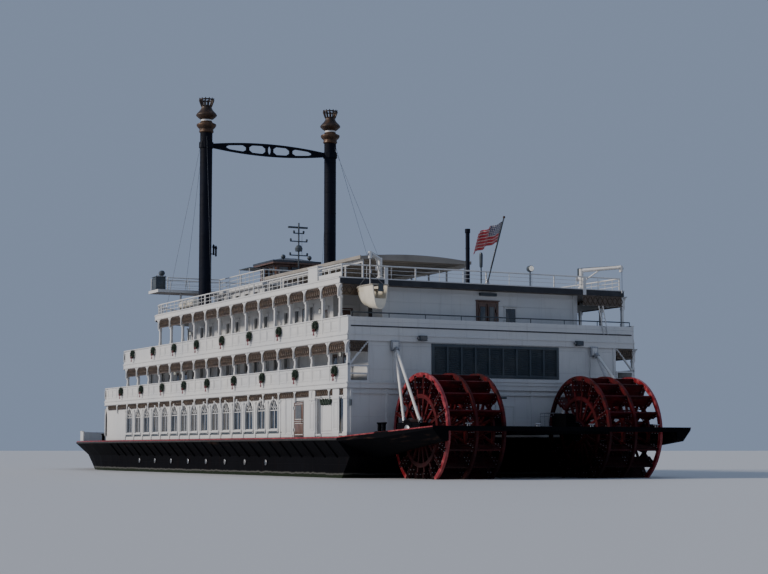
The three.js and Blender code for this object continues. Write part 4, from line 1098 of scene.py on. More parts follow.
class GalleryTrim(bpy.types.Operator):
    """Adds cap rails, panels, post casings, white brackets and the brown friezes of both galleries"""
    bl_idname = "showboat.gallery_trim"
    bl_label = "Gallery trim"

    def frieze(self, width, height):
        """A board with two strands that cross: u against sin and -sin of eight half turns."""
        u = np.linspace(-width / 2, width / 2, 49)
        swing = 0.36 * height * np.sin(u / width * 8 * np.pi)
        return joined(slab(width / 2, 0, height, 0.004, 0.03), slab(width / 2, 0, 0.05, 0.02, 0.07),
                      slab(width / 2, height - 0.05, height, 0.02, 0.07),
                      *[tube(at(u, height / 2 + way * swing, 0.05), 0.028, 6) for way in (1, -1)])

    def level(self, level, gallery):
        deck, cover, posts = DECKS[level], gallery.cover, gallery_posts(level)
        middles, pitch = (posts[:-1] + posts[1:]) / 2, posts[1] - posts[0]
        height, top, high = gallery.rail - deck.top, cover.bottom - deck.top - 0.02, 0.72
        cap = ((-0.2, 0), (0.05, 0), (0.07, 0.03), (0.05, 0.08), (-0.2, 0.08))
        skirting = ((-0.02, 0), (0.04, 0), (0.02, 0.16), (-0.02, 0.16))
        form = Form().add("white", moulding(edge_line(deck, gallery.rail), cap),
                          moulding(edge_line(deck, deck.top), skirting))
        post = joined(slab(0.13, height + 0.08, height + 0.3, -0.17, 0.04),
                      slab(0.11, 0, height, -0.01, 0.035), slab(0.105, height + 0.3, top, -0.15, 0.012),
                      moved(both_sides(bracket(0.5, 0.8, 0.0, 0.1)), 0, top),
                      moved(both_sides(bracket(0.42, 0.62, 0.1, 0.13)), 0, top - 0.05),
                      slab(0.16, top - 0.93, top - 0.83, -0.16, 0.06),
                      bars((0, top - 0.82, 0.11), (0, top, 0.11), 0.06))
        form.stand("white", side_places(deck.half, posts, deck.top), post)
        ys = middles
        if level == "second":
            ys = np.concatenate([ys, np.arange(ys[-1] + pitch, deck.shoulder, pitch)])
        form.stand("white", side_places(deck.half, ys, deck.top),
                   both_sides(panelled((pitch - 0.34) / 2, height - 0.34, 0.03, 0.24)))
        form.stand("white", bow_places(deck, np.radians([*range(12, 84, 12), *range(96, 170, 12)]), deck.top),
                   panelled(1.3, height - 0.34, None, 0.24, 0.03))
        form.make(f"{level}_gallery_trim", "white_paint")
        inner = HOUSES["second"].half if level == "second" else CORNER.x
        foot, middle = cover.bottom - high - 0.02, (inner + deck.half) / 2
        frieze = Form()
        frieze.stand("varnish", side_places(deck.half, middles, foot), self.frieze(pitch - 0.24, high))
        frieze.stand("varnish", (at((middle, -middle), cover.aft + 0.05, foot), AFTWARD),
                     self.frieze(deck.half - inner - 0.15, high))
        frieze.make(f"{level}_gallery_friezes", "brown_joinery")

    def execute(self, context):
        for level, gallery in GALLERIES.items():
            self.level(level, gallery)
        half, pitch = HOUSES["main"].half, MAIN_PITCH
        spots = side_places(half, np.arange(pitch / 2 + 0.1, 50.0, pitch), 5.42)
        Form().stand("varnish", spots, self.frieze(pitch - 0.1, 0.43)).make("main_friezes", "brown_joinery")
        knee = joined(both_sides(bracket(0.34, 0.5, 0.0, 0.12)), slab(0.07, -0.75, 0, 0, 0.14))
        spots = side_places(half, np.arange(0.1, 50.0, pitch)[1:], 5.84)
        Form().stand("white", spots, knee).make("main_brackets", "white_paint")
        return {"FINISHED"}


class Wreaths(bpy.types.Operator):
    """Hangs a wreath of needles with a red bow at every second post of both galleries"""
    bl_idname = "showboat.wreaths"
    bl_label = "Wreaths"

    def wreath(self, width):
        """A ring of radius R with a round section r, and short needles that lean out from it: each
        starts at angle t of the ring and angle s of the section, and both angles are spread evenly."""
        thick = width * 0.125
        ring = width / 2 - thick * 1.5
        cosine, sine = circle(28)
        core = tube(at(ring * cosine, ring * sine, thick), thick, 8, True)
        random = np.random.default_rng(5)
        count, golden = 120, 2.39996
        t = np.arange(count) * golden + random.uniform(-0.1, 0.1, count)
        s = np.linspace(-2.2, 2.2, count)[random.permutation(count)]
        across = at(np.cos(s) * np.cos(t), np.cos(s) * np.sin(t), np.sin(s))
        middle = at(ring * np.cos(t), ring * np.sin(t), thick)
        lean = thick * random.uniform(0.4, 1.0, (count, 1)) * at(-np.sin(t), np.cos(t), 0)
        ends = middle + thick * 1.7 * across + lean
        ends[:, 2] = np.maximum(ends[:, 2], 0.01)
        return joined(core, bars(middle + thick * 0.7 * across, ends, thick * 0.34, 4, thick * 0.05))

    def bow(self, width):
        """Two loops, each a closed curve 1 - cos t, sin t, two tails and a knot."""
        size = width * 0.2
        turn = np.linspace(0.5, 2 * np.pi - 0.5, 15)
        path = at(size * 0.6 * (1 - np.cos(turn)), size * 0.55 * np.sin(turn), width * 0.26)
        loop = tube(path, width * 0.035, 6)
        tail = prism(np.array(((0.0, 0.0), (-0.9, -2.2), (-0.5, -2.4), (-0.2, -2.1), (0.25, -0.1))) * size,
                     width * 0.22, width * 0.25)
        knot = slab(width * 0.05, -width * 0.05, width * 0.05, width * 0.2, width * 0.3)
        return moved(joined(both_sides(loop), both_sides(tail), knot), 0, -width * 0.36)

    def execute(self, context):
        width = sizes().wreath
        for level, (ys, height) in WREATHS.items():
            spots = side_places(DECKS[level].half + 0.05, ys, height)
            form = Form().stand("evergreen", spots, self.wreath(width))
            form.stand("ribbon", spots, self.bow(width)).make(f"{level}_wreaths", "slate_paint")
        return {"FINISHED"}


class Windows(bpy.types.Operator):
    """Glazes and frames the windows of the three houses, on the straight sides and round the fronts"""
    bl_idname = "showboat.windows"
    bl_label = "Windows"

    def execute(self, context):
        for level, (_, _, _, *opening) in WINDOWS.items():
            house, opening = HOUSES[level], (*opening, level == "main")
            angles = np.arange(np.radians(14), np.radians(78), np.radians(9 if level == "main" else 8) * 1.35)
            middles = window_middles(level)
            form = Form().window(side_places(house.half, middles), opening, (-0.1, -0.08), -0.07)
            form.window(bow_places(house, np.concatenate([angles, np.pi - angles]), 0.0, 0.02), opening,
                        (-0.06, 0.01), 0.0)
            form.make(f"{level}_windows", "white_paint")
        half, (_, last, pitch, *_) = HOUSES["main"].half, WINDOWS["main"]
        posts = np.append(window_middles("main") - pitch / 2, last + pitch / 2)
        pilaster = joined(slab(0.13, 2.9, 5.2, 0, 0.06), slab(0.19, MAIN_DECK, 2.95, 0, 0.1),
                          slab(0.19, 5.2, 5.32, 0, 0.1), slab(0.16, 4.6, 4.68, 0, 0.08))
        form = Form().stand("white", side_places(half, posts), pilaster)
        form.both("slate", blocks((half, posts[0] - 0.2, 3.02), (half + 0.05, posts[-1] + 0.2, 3.12)))
        form.both("white", blocks(((half, 0.15, MAIN_DECK), (half, BOARDING.front + 0.15, MAIN_DECK)),
                                  ((half + 0.04, BOARDING.aft - 0.15, 2.9), (half + 0.04, 50.0, 2.9))))
        form.make("main_pilasters", "white_paint")
        return {"FINISHED"}


class SideDoors(bpy.types.Operator):
    """Adds cabin doors with lamps on both galleries and the columns and panels near the stern"""
    bl_idname = "showboat.side_doors"
    bl_label = "Side doors"

    def cabins(self, level, ys):
        """Doors with a window, a knob and a lamp beside each, on both sides of a house."""
        house = HOUSES[level]
        spots = side_places(house.half, ys, house.bottom)
        form = Form().stand("joinery", spots, slab(0.425, 0, 2.05, 0, 0.03),
                            panelled(0.69, 0.82, None, 0.1, 0.03))
        form.stand("white", spots, casing(0.85, 0.0, 2.05, False, 0.0, 0.12))
        form.stand("glass", spots, slab(0.3, 1.15, 1.9, 0.03, 0.045))
        form.stand("bronze", spots, bars((0.33, 1.02, 0.03), (0.33, 1.02, 0.1), 0.03))
        spots = side_places(house.half, np.array(ys) + 0.75, house.bottom + 2.0)
        form.stand("lamp", spots, bars((0, -0.12, 0.13), (0, 0.12, 0.13), 0.07, 10))
        form.stand("steel", spots, slab(0.05, -0.16, 0.16, 0, 0.04),
                   bars((0, 0.12, 0.13), (0, 0.2, 0.13), 0.09, 10, 0.02),
                   bars((0, 0.05, 0.03), (0, 0.05, 0.13), 0.02, 6))
        form.make(f"{level}_side_doors", "brown_joinery")

    def garland(self, width):
        """A rope of needles that hangs in four bows: its drop is |sin| of four half turns."""
        u = np.linspace(-width / 2, width / 2, 41)
        return tube(at(u, 2.45 - 0.3 * np.abs(np.sin(u / width * 4 * np.pi)), 0.14), 0.085, 8)

    def column(self, half):
        """A flat column with a base and a collar."""
        return joined(slab(half, 0, 3.1, 0, 0.1), slab(half + 0.06, 0, 0.3, 0, 0.15),
                      slab(half + 0.06, 2.45, 2.6, 0, 0.15))

    def execute(self, context):
        for level, ys in CABIN_DOORS.items():
            self.cabins(level, ys)
        spots = side_places(HOUSES["third"].half, (9.0, 10.35))
        form = Form().window(spots, (0.5, 10.1, 11.8, False), border=(0.0, 0.07))
        form.make("third_narrow_windows", "white_paint")
        half = HOUSES["main"].half
        form = Form().window(side_places(half, (1.05, 4.6)), (0.6, 2.9, 5.25, False), border=(0.0, 0.05))
        for ys, shape in ((0.42, self.column(0.28)), ((1.85, 5.65), self.column(0.5)),
                          ((1.85, 5.65), panelled(0.7, 1.9, None, 0.42, 0.1)),
                          (3.35, panelled(1.8, 2.5, None, 0.2, 0.0, 0.05)),
                          ((9.75, 10.85), panelled(1.0, 2.5, None, 0.2))):
            form.stand("white", side_places(half, ys, MAIN_DECK), shape)
        form.stand("evergreen", side_places(half, 3.35, MAIN_DECK), self.garland(1.6))
        form.make("aft_main_joinery", "white_paint")
        return {"FINISHED"}


class SternWall(bpy.types.Operator):
    """Adds slats to the transom's bank, and ledges, piers, windows, rails and lights to the stern"""
    bl_idname = "showboat.stern_wall"
    bl_label = "Stern wall"

    def louvre(self):
        """Slats tilted by 38 degrees between upright bars, in a moulded frame."""
        (x0, y0, z0), (x1, _, z1) = limits("aft_louvre")
        count, edge = LOUVRE.bars, LOUVRE.edge
        cell, tilt = (x1 - x0 - edge) / count, np.radians(38)
        lean = np.array(((np.cos(tilt), np.sin(tilt)), (-np.sin(tilt), np.cos(tilt))))
        section = oblong(-0.045, 0.045, -0.006, 0.006) @ lean
        slat = skin(at(np.array((0.0, cell - edge))[:, None], *section.T))
        starts = x0 + edge + cell * np.arange(count)
        form = Form().add("slate", copies(slat, every(starts, y0, np.arange(z0 + 0.3, z1 - 0.25, 0.13))))
        posts = x0 + cell * np.arange(1, count) + edge / 2
        form.add("slate", boxes(at(posts - 0.06, y0 - 0.07, z0), (0.12, 0.09, z1 - z0)))
        border = arch_line(x1 - x0 - 0.12, z0 + 0.06, z1 - 0.06, False)
        form.stand("slate", ((0, y0, 0), AFTWARD),
                   moulding(border, ((-0.1, 0), (0.1, 0), (0.1, 0.08), (0.02, 0.1), (-0.1, 0.1)), True))
        form.make("transom_slats", "slate_paint")

    def lower_walls(self, form):
        """Ledges and piers of the second level, and ribs, a string course and panels of the main one."""
        face = HOUSES["second"].aft
        form.add("white", slab(5.3, face - 0.14, face + 0.02, 6.4, 6.54),
                 slab(5.2, face - 0.08, face + 0.02, 6.25, 6.4))
        form.both("white", blocks(((7.55, face - 0.1, 6.25), (9.5, face - 0.06, 6.25)),
                                  ((7.85, face + 0.02, 8.95), (9.7, face + 0.02, 8.95))))
        face = HOUSES["main"].aft
        form.add("white", boxes(at(STERN_RIBS - 0.09, face - 0.07, MAIN_DECK), (0.18, 0.09, 3.1)),
                 slab(11.0, face - 0.09, face + 0.02, 5.5, 5.62))
        form.stand("white", ((0, face, 0), AFTWARD), both_sides(panelled(0.9, 2.1, 0.55, 2.75, 0.0, 0.04)))

    def third_wall(self, form):
        """Frame and transom light of the double door, one window beside it, corner piers, and doors and
        windows in the two stepped bays."""
        face, x, middle, sill = HOUSES["third"].aft, CORNER.x, AFT_DOOR.middle, AFT_DOOR.sill
        form.stand("joinery", ((middle, face, 0), AFTWARD),
                   casing(2 * AFT_DOOR.width + 0.06, sill, AFT_DOOR.top, False, 0.0, 0.14))
        form.add("slate", blocks((middle - 0.65, face - 0.25, 12.42), (middle + 0.65, face + 0.02, 12.62)))
        form.window(((2.25, face, 0), AFTWARD), (0.8, 10.0, 11.6, False), border=(0.0, 0.1))
        form.both("white", blocks((x - 0.3, face - 0.08, sill), (x + 0.05, face + 0.25, 12.75)))
        form.add("white", slab(x, face - 0.05, face + 0.02, 12.38, 12.5),
                 slab(x, face - 0.03, face + 0.02, sill, 9.62))
        form.stand("white", (at(STERN_PANELS, face, 0), AFTWARD),
                   panelled(1.35, 0.95, None, 9.75))
        bays = at(np.array((0.5, -0.5)) * (x + 9.7), CORNER.y, 0), AFTWARD
        form.stand("joinery", bays, panelled(0.9, 2.1, None, 9.42, 0.0, 0.04))
        form.stand("white", bays, casing(0.95, sill, 11.55, False, 0.0, 0.1))
        form.window(side_places(x, 3.75), (0.7, 10.1, 11.7, False), border=(0.0, 0.1))

    def execute(self, context):
        self.louvre()
        form = Form()
        self.lower_walls(form)
        self.third_wall(form)
        form.both("white", bars((9.75, 0.05, 8.9), (11.05, 0.05, 7.4), 0.08))
        top, foot, across = np.array((8.45, 0.0, 11.9)), np.array((8.8, -0.07, 9.9)), 0.17 * OUTWARD
        steps = foot + np.linspace(0, 1, 8)[1:-1, None] * (top - foot)
        form.add("white", bars((top - across, top + across), (foot - across, foot + across), 0.035, 6),
                 bars(steps - across, steps + across, 0.025, 6))
        form.make("stern_joinery", "white_paint")
        rail = at(np.linspace(-10.9, 10.9, 9), 0.07, 10.5)
        gear = Form().add("slate", bars(rail, rail + 0.3 * UP, 0.03), run(rail + 0.3 * UP, 0.04))
        for x in STERN_LIGHTS:
            gear.add("slate", moved(slab(0.28, -0.32, -0.08, 9.03, 9.37), x))
            gear.add("glass", moved(slab(0.24, -0.345, -0.31, 9.07, 9.33), x))
            gear.add("steel", boxes(at((x - 0.34, x + 0.3), -0.26, 9.14), (0.04, 0.28, 0.12)))
        gear.both("slate", blocks((10.98, -0.12, 4.7), (11.06, 0.1, 5.1)))
        gear.make("stern_lights", "slate_paint")
        return {"FINISHED"}


class Wheels(bpy.types.Operator):
    """Adds round rims, cleats, bolts, hub flanges and bracing to both paddle wheels"""
    bl_idname = "showboat.wheels"
    bl_label = "Paddle wheels"

    def execute(self, context):
        ring, radius, (low, high) = WHEEL.ring, WHEEL.radius, WHEEL.boards
        frames = np.array((WHEEL.inner + WHEEL.plate / 2, (WHEEL.inner + WHEEL.outer) / 2,
                           WHEEL.outer - WHEEL.plate / 2))
        inner, middle, outer = frames
        rims = [hoop(x - 0.09, x + 0.09, radius - 0.24, radius + 0.03, 96) for x in frames]
        rings = [hoop(x - 0.08, x + 0.08, ring - 0.13, ring + 0.13) for x in frames]
        hubs = [turned(((0.72, x - 0.16), (0.78, x - 0.1), (0.78, x + 0.1), (0.72, x + 0.16)), 32, OUTWARD)
                for x in frames]
        core = turned(((0.42, inner), (0.42, outer)), 24, OUTWARD)
        cleats = boxes(every(frames - 0.16, low + 0.05, (-0.1, 0.05)), (0.32, high - low - 0.1, 0.05))
        plank = blocks((inner, (low + high) / 2 - 0.012, -0.062), (outer, (low + high) / 2 + 0.012, 0.062))
        heads = every(either_way(frames, 0.11), (2.78, 3.1, 3.42), (-0.1, 0.1))
        shanks = [at(either_way(frames, reach), 0.6, 0) for reach in (0.16, 0.22)]
        bolts = joined(bars(heads, heads * (1, 1, 1.45), 0.035, 6), bars(*shanks, 0.05, 6))
        step = 2 * np.pi / WHEEL.arms
        braces = bars(at((inner, middle), ring, 0),
                      at((middle, outer), ring * np.cos(step), ring * np.sin(step)), 0.045)
        rod = bars((inner, 1.45, 0), (outer, 1.45, 0), 0.04)
        red = (*rims[:2], *rings, *hubs, core, around(joined(cleats, plank, braces, rod), WHEEL.arms))
        for name, side in SIDES.items():
            form = Form()
            # The outer rims take the brighter pinkish red as a painted highlight of sun on the outboard
            # frame.
            for material, shapes in (("rim", rims[2:]), ("red", red), ("steel", [around(bolts, WHEEL.arms)])):
                form.add(material, *[moved(mirrored(shape) if side < 0 else shape, 0, WHEEL.y, WHEEL.z)
                                     for shape in shapes])
            form.make(f"wheel_fittings_{name}", "wheel_red", f"wheel_{name}")
        return {"FINISHED"}


class SternGear(bpy.types.Operator):
    """Adds bearing caps, drive cases, cleats, walkway rails and strut collars round the wheels"""
    bl_idname = "showboat.stern_gear"
    bl_label = "Stern gear"

    def bearings(self):
        """Half-round keepers over the shafts' ends, a bolted flange outboard, and the drives inboard."""
        y, z = WHEEL.y, WHEEL.z
        arc, turn = np.linspace(0, np.pi, 17), np.linspace(0.3, 2.84, 6)
        ends = np.array(((8.32,), (8.98,)))
        keeper = skin(at(ends, y + 0.62 * np.cos(arc), z + 0.3 + 0.42 * np.sin(arc)))
        heads = at(8.98, y + 0.3 * np.cos(turn), z + 0.3 * np.sin(turn))
        flange = turned(((0.36, 8.92), (0.36, 9.0), (0.26, 9.06)), 24, OUTWARD)
        form = Form().both("steel", moved(flange, 0, y, z), bars(heads, heads + 0.05 * OUTWARD, 0.035, 6),
                           bars((2.8, -3.85, 4.22), (2.8, -3.85, 4.45), 0.12, 12))
        form.both("hull_black", keeper, blocks(((2.45, -4.7, 3.3), (2.55, -4.6, 4.1)),
                                               ((3.2, -3.0, 4.1), (3.1, -3.1, 4.22))))
        form.add("slate", bars(((-2.9, -3.1, 3.3), (-3.3, -3.2, 5.2)),
                               ((-2.9, -3.1, 5.22), (-1.2, -3.2, 5.25)), 0.08))
        form.make("stern_bearings", "bare_steel")

    def execute(self, context):
        self.bearings()
        edge, head = at(3.15, (-0.4, -2.6), 0), np.array((7.8, -0.07, 8.7))
        form = Form().both("steel", balustrade(edge, 3.3, 1.0, 0.55), run(edge + 4.3 * UP, 0.03),
                           blocks((7.5, -0.12, 8.3), (8.1, 0.0, 9.0)))
        cleat = joined(bars((-0.22, 0, 0.16), (0.22, 0, 0.16), 0.035),
                       bars(at((-0.08, 0.08), 0, 0), at((-0.08, 0.08), 0, 0.16), 0.035))
        form.add("steel", copies(cleat, at((-7.0, -2.0, 2.0, 7.0), -8.42, 3.3)))
        post = turned(((0.13, 0), (0.13, 0.5), (0.19, 0.55), (0.19, 0.62)), 16)
        bitt = joined(post, moved(post, 0, 0.6), slab(0.22, -0.25, 0.85, -0.1, 0.06))
        form.both("hull_black", moved(bitt, 10.4, -3.6, 2.95))
        for y in STRUT_FEET:
            foot = np.array((8.62, y, 3.55))
            along = unit(head - foot)
            starts = np.array((foot + along * 0.12, head - along * 0.55))
            form.both("steel", bars(starts, starts + along * 0.24, 0.15, 16))
        form.make("stern_fittings", "bare_steel")
        return {"FINISHED"}


class Stacks(bpy.types.Operator):
    """Builds both stacks smooth, with faint joints, a bronze crown of curled leaves, stays and a whistle"""
    bl_idname = "showboat.stacks"
    bl_label = "Stacks"

    def leaves(self, radius, z, reach, rise):
        """Curled leaves about the stack: each follows (r + reach t^2, z + rise sin(pi t / 1.35)), and its
        round section thins towards the tip."""
        t = np.linspace(0, 1, 9)
        path = at(radius + reach * t ** 2, 0, z + rise * np.sin(np.pi * t / 1.35))
        return around(tube(path, 0.045 * (1.02 - t) ** 0.5 + 0.008, 8, reference=FORWARD), 18, True)

    def crown(self, base):
        """A cup, a neck painted white as a painted highlight at the crown's bright waist, a bulge and an open
        coronet, as profiles of (radius, height over the base).
        """
        lower = ((0.54, -0.12), (0.64, -0.04), (0.64, 0.04), (0.6, 0.1), (0.62, 0.25), (0.76, 0.36),
                 (0.85, 0.5), (0.87, 0.58), (0.85, 0.66), (0.72, 0.72), (0.6, 0.78), (0.53, 0.84),
                 (0.5, 0.92))
        neck = ((0.49, 0.9), (0.49, 1.1))
        upper = ((0.5, 1.07), (0.68, 1.2), (0.8, 1.3), (0.9, 1.4), (0.92, 1.46), (0.9, 1.52), (0.82, 1.64),
                 (0.7, 1.76), (0.56, 1.92), (0.48, 2.06), (0.44, 2.2), (0.46, 2.32), (0.4, 2.34), (0.38, 2.0))
        lower, neck, upper = (turned(profile, 48) for profile in (lower, neck, upper))
        cosine, sine = circle(sizes().petals)
        feet, heads = (at(r * cosine, r * sine, z) for r, z in ((0.45, 2.25), (0.63, 2.81)))
        tips = copies(turned(((0.03, 0), (0.06, 0.05), (0.01, 0.12)), 8), heads + 0.07 * UP)
        cosine, sine = circle(32)
        bronze = joined(lower, upper, self.leaves(0.56, 0.1, 0.2, 0.5), self.leaves(0.52, 1.12, 0.3, 0.34),
                        bars(feet, heads, 0.05, 8, 0.07), tips,
                        tube(at(0.61 * cosine, 0.61 * sine, 2.84), 0.06, 10, True))
        return moved(bronze, z=base), moved(neck, z=base)

    def execute(self, context):
        base, r, foot = STACK.crown, STACK.radius, STACK.foot
        body = [(foot, ROOF), (foot + 0.08, ROOF), (foot + 0.08, ROOF + 0.1), (foot, ROOF + 0.16),
                (foot, ROOF + 0.6), (r, ROOF + 0.75)]
        for z in np.arange(ROOF + 1.6, base - 0.4, 0.93):
            body += [(r, z), (r + 0.012, z + 0.01), (r + 0.012, z + 0.04), (r, z + 0.05)]
        body = turned([*body, (r, base - 0.1)], 48)
        bronze, neck = self.crown(base)
        for name, side in SIDES.items():
            form = Form()
            # The neck's white is a painted highlight at the crown's bright waist.
            for material, shape in (("stack", body), ("bronze", bronze), ("white", neck)):
                form.add(material, moved(shape, side * STACK.x, STACK.y))
            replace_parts(form.make(f"smooth_stack_{name}", "stack_black", sharp=42), f"stack_{name}")
        head = np.array((STACK.x, STACK.y, base - 0.5))
        starts = head + unit((STAY_FEET - head) * (1, 1, 0)) * r
        along = unit(starts - STAY_FEET)
        rods = Form().both("wire", bars(starts, STAY_FEET, sizes().stay))
        rods.both("steel", bars(STAY_FEET + along * 0.5, STAY_FEET + along * 1.1, 0.05),
                  boxes(STAY_FEET - (0.12, 0.12, 0), (0.24, 0.24, 0.07)))
        x, y = r - STACK.x, STACK.y - 0.2
        pipe = turned(((0.08, 18.8), (0.08, 19.4), (0.11, 19.45), (0.11, 19.6), (0.04, 19.75)), 16)
        rods.add("stack", bars((x - 0.1, y, 18.9), (x + 0.4, y, 18.9), 0.04), moved(pipe, x + 0.16, y),
                 moved(pipe, x + 0.38, y, -0.1))
        rods.make("stack_stays", "bare_steel")
        return {"FINISHED"}


class Spreader(bpy.types.Operator):
    """Adds round chords, uprights and collars to the truss between the stacks"""
    bl_idname = "showboat.spreader"
    bl_label = "Stack spreader"

    def execute(self, context):
        """Chords follow z = middle +- rise (1 - (x / reach)^2); uprights stand where the truss is closed."""
        reach, z, y = SPREADER.reach, SPREADER.z, STACK.y
        xs = np.linspace(-reach + 0.35, reach - 0.35, 33)
        nodes = np.array((0.045, 0.36, 0.72, 0.86)) * reach
        lift, height = (SPREADER.rise * (1 - (row / reach) ** 2) for row in (xs, nodes))
        collar = turned(((0.56, -0.24), (0.62, -0.2), (0.62, 0.2), (0.56, 0.24)), 40)
        form = Form().add("stack", *[tube(at(xs, y, z + way * (lift + 0.06)), 0.09) for way in (1, -1)])
        feet, heads = at(nodes, y, z - height), at(nodes, y, z + height)
        form.both("stack", bars(feet, heads, (0.06, 0.12, 0.08, 0.06), 10), moved(collar, STACK.x, y, z))
        form.make("spreader_ornament", "stack_black")
        return {"FINISHED"}


class Rails(bpy.types.Operator):
    """Adds slim posts and middle rails to the roof and the bridge, and the roof's lamps, locker and rafts"""
    bl_idname = "showboat.rails"
    bl_label = "Rails"

    def slim(self, line, height, pitch):
        """Thin posts at a pitch along a line, two middle rails and a round top rail."""
        feet = spaced(line, pitch)
        return joined(bars(feet, feet + height * UP, 0.022, 6), run(line + height * UP, 0.05),
                      *[run(line + height * share * UP, 0.018, 6) for share in (0.36, 0.68)])

    def execute(self, context):
        pitch, line = sizes().rail_pitch, edge_line(DECKS["roof"], ROOF, 0.2, 24)
        x, start, _ = line[0]
        screen = blocks((x - 0.02, start, ROOF + 0.08), (x + 0.02, 5.0, ROOF + RAIL.roof * 0.42))
        form = Form().add("white", screen, self.slim(line, RAIL.roof, pitch),
                          self.slim(line[[-1, 0]], RAIL.roof, 1.8))
        form.make("roof_balusters", "white_paint")
        out, wing, end = BRIDGE.half - 0.2, BRIDGE.wing - 0.95, BRIDGE.wing - 0.2
        aft, inner = BRIDGE.wing_aft + 0.2, BRIDGE.aft + 0.2
        back = at((-wing, -out, -out, out, out, wing), (aft, aft, inner, inner, aft, aft), BRIDGE.top)
        form = Form().add("white", *[self.slim(line, RAIL.bridge, pitch * 2)
                                     for line in (back, at((-end, end), BRIDGE.front - 0.2, BRIDGE.top))])
        form.make("bridge_balusters", "white_paint")
        self.fittings()
        return {"FINISHED"}

    def fittings(self):
        """A horn and a searchlight at the stern rail, a locker on the port side, and rafts forward."""
        horn = turned(((0.05, 13.2), (0.05, 14.3), (0.11, 14.38), (0.13, 15.2), (0.09, 15.34)), 14)
        drum = turned(((0.12, -0.2), (0.21, -0.14), (0.23, 0.16), (0.21, 0.2)), 20, AFTWARD)
        lens = turned(((0.19, 0.19), (0.19, 0.215)), 20, AFTWARD)
        form = Form().add("slate", moved(horn, -0.41, 1.4), moved(drum, 3.52, 1.4, 14.42),
                          bars((3.52, 1.4, ROOF), (3.52, 1.4, 14.25), 0.05))
        form.add("lamp", moved(lens, 3.52, 1.4, 14.42))
        form.add("white", blocks(((-11.08, 5.1, ROOF), (-11.12, 5.04, 14.2)),
                                 ((-10.72, 6.6, 14.2), (-10.68, 6.66, 14.26))))
        raft = turned(((0.28, 0), (0.36, 0.06), (0.36, 1.2), (0.28, 1.26)), 20, FORWARD)
        cradle = boxes(at(-0.35, (0.2, 1.0), -0.55), (0.7, 0.06, 0.3))
        for y in RAFTS:
            for material, shape in (("gelcoat", raft), ("steel", cradle)):
                form.both(material, moved(shape, 10.3, y, ROOF + 0.55))
        form.make("roof_fittings", "white_paint")


class Canopy(bpy.types.Operator):
    """Adds seams, gutters, a fascia and battens to the canopy, and panels and benches along its screens"""
    bl_idname = "showboat.canopy"
    bl_label = "Canopy"

    def execute(self, context):
        """Seams follow z = edge + thickness + camber (1 - (x / half)^2) over the roof."""
        half, edge, aft, front, bays = CANOPY.half, CANOPY.edge, CANOPY.aft, CANOPY.front, CANOPY.bays
        xs = np.linspace(-half + 0.1, half - 0.1, 25)
        over = edge + 0.16 + CANOPY.camber * (1 - (xs / half) ** 2)
        form = Form()
        for y in np.linspace(aft + 0.3, front - 0.3, 13):
            form.add("canvas", tube(at(xs, y, over), 0.025, 6),
                     slab(half - 0.4, y - 0.04, y + 0.04, edge - 0.06, edge + 0.01))
        form.both("canvas", blocks((half - 0.02, aft - 0.04, edge - 0.04),
                                   (half + 0.06, front + 0.04, edge + 0.2)))
        form.add("canvas", *[slab(half, y - 0.05, y + 0.05, edge - 0.06, edge + 0.16) for y in (aft, front)])
        form.make("canopy_ribs", "white_paint")
        pitch = (front - aft - 0.55) / bays
        middles = aft + 0.275 + pitch * (np.arange(bays) + 0.5)
        form = Form()
        form.stand("white", side_places(half - 0.25, middles), panelled(pitch - 0.3, 0.6, None, 13.3))
        form.stand("varnish", side_places(half - 0.6, middles, ROOF), slab(0.9, 0.38, 0.44, -0.55, -0.1),
                   boxes(at((-0.85, 0.75), 0, -0.5), (0.1, 0.38, 0.35)))
        form.make("canopy_screens", "white_paint")
        return {"FINISHED"}


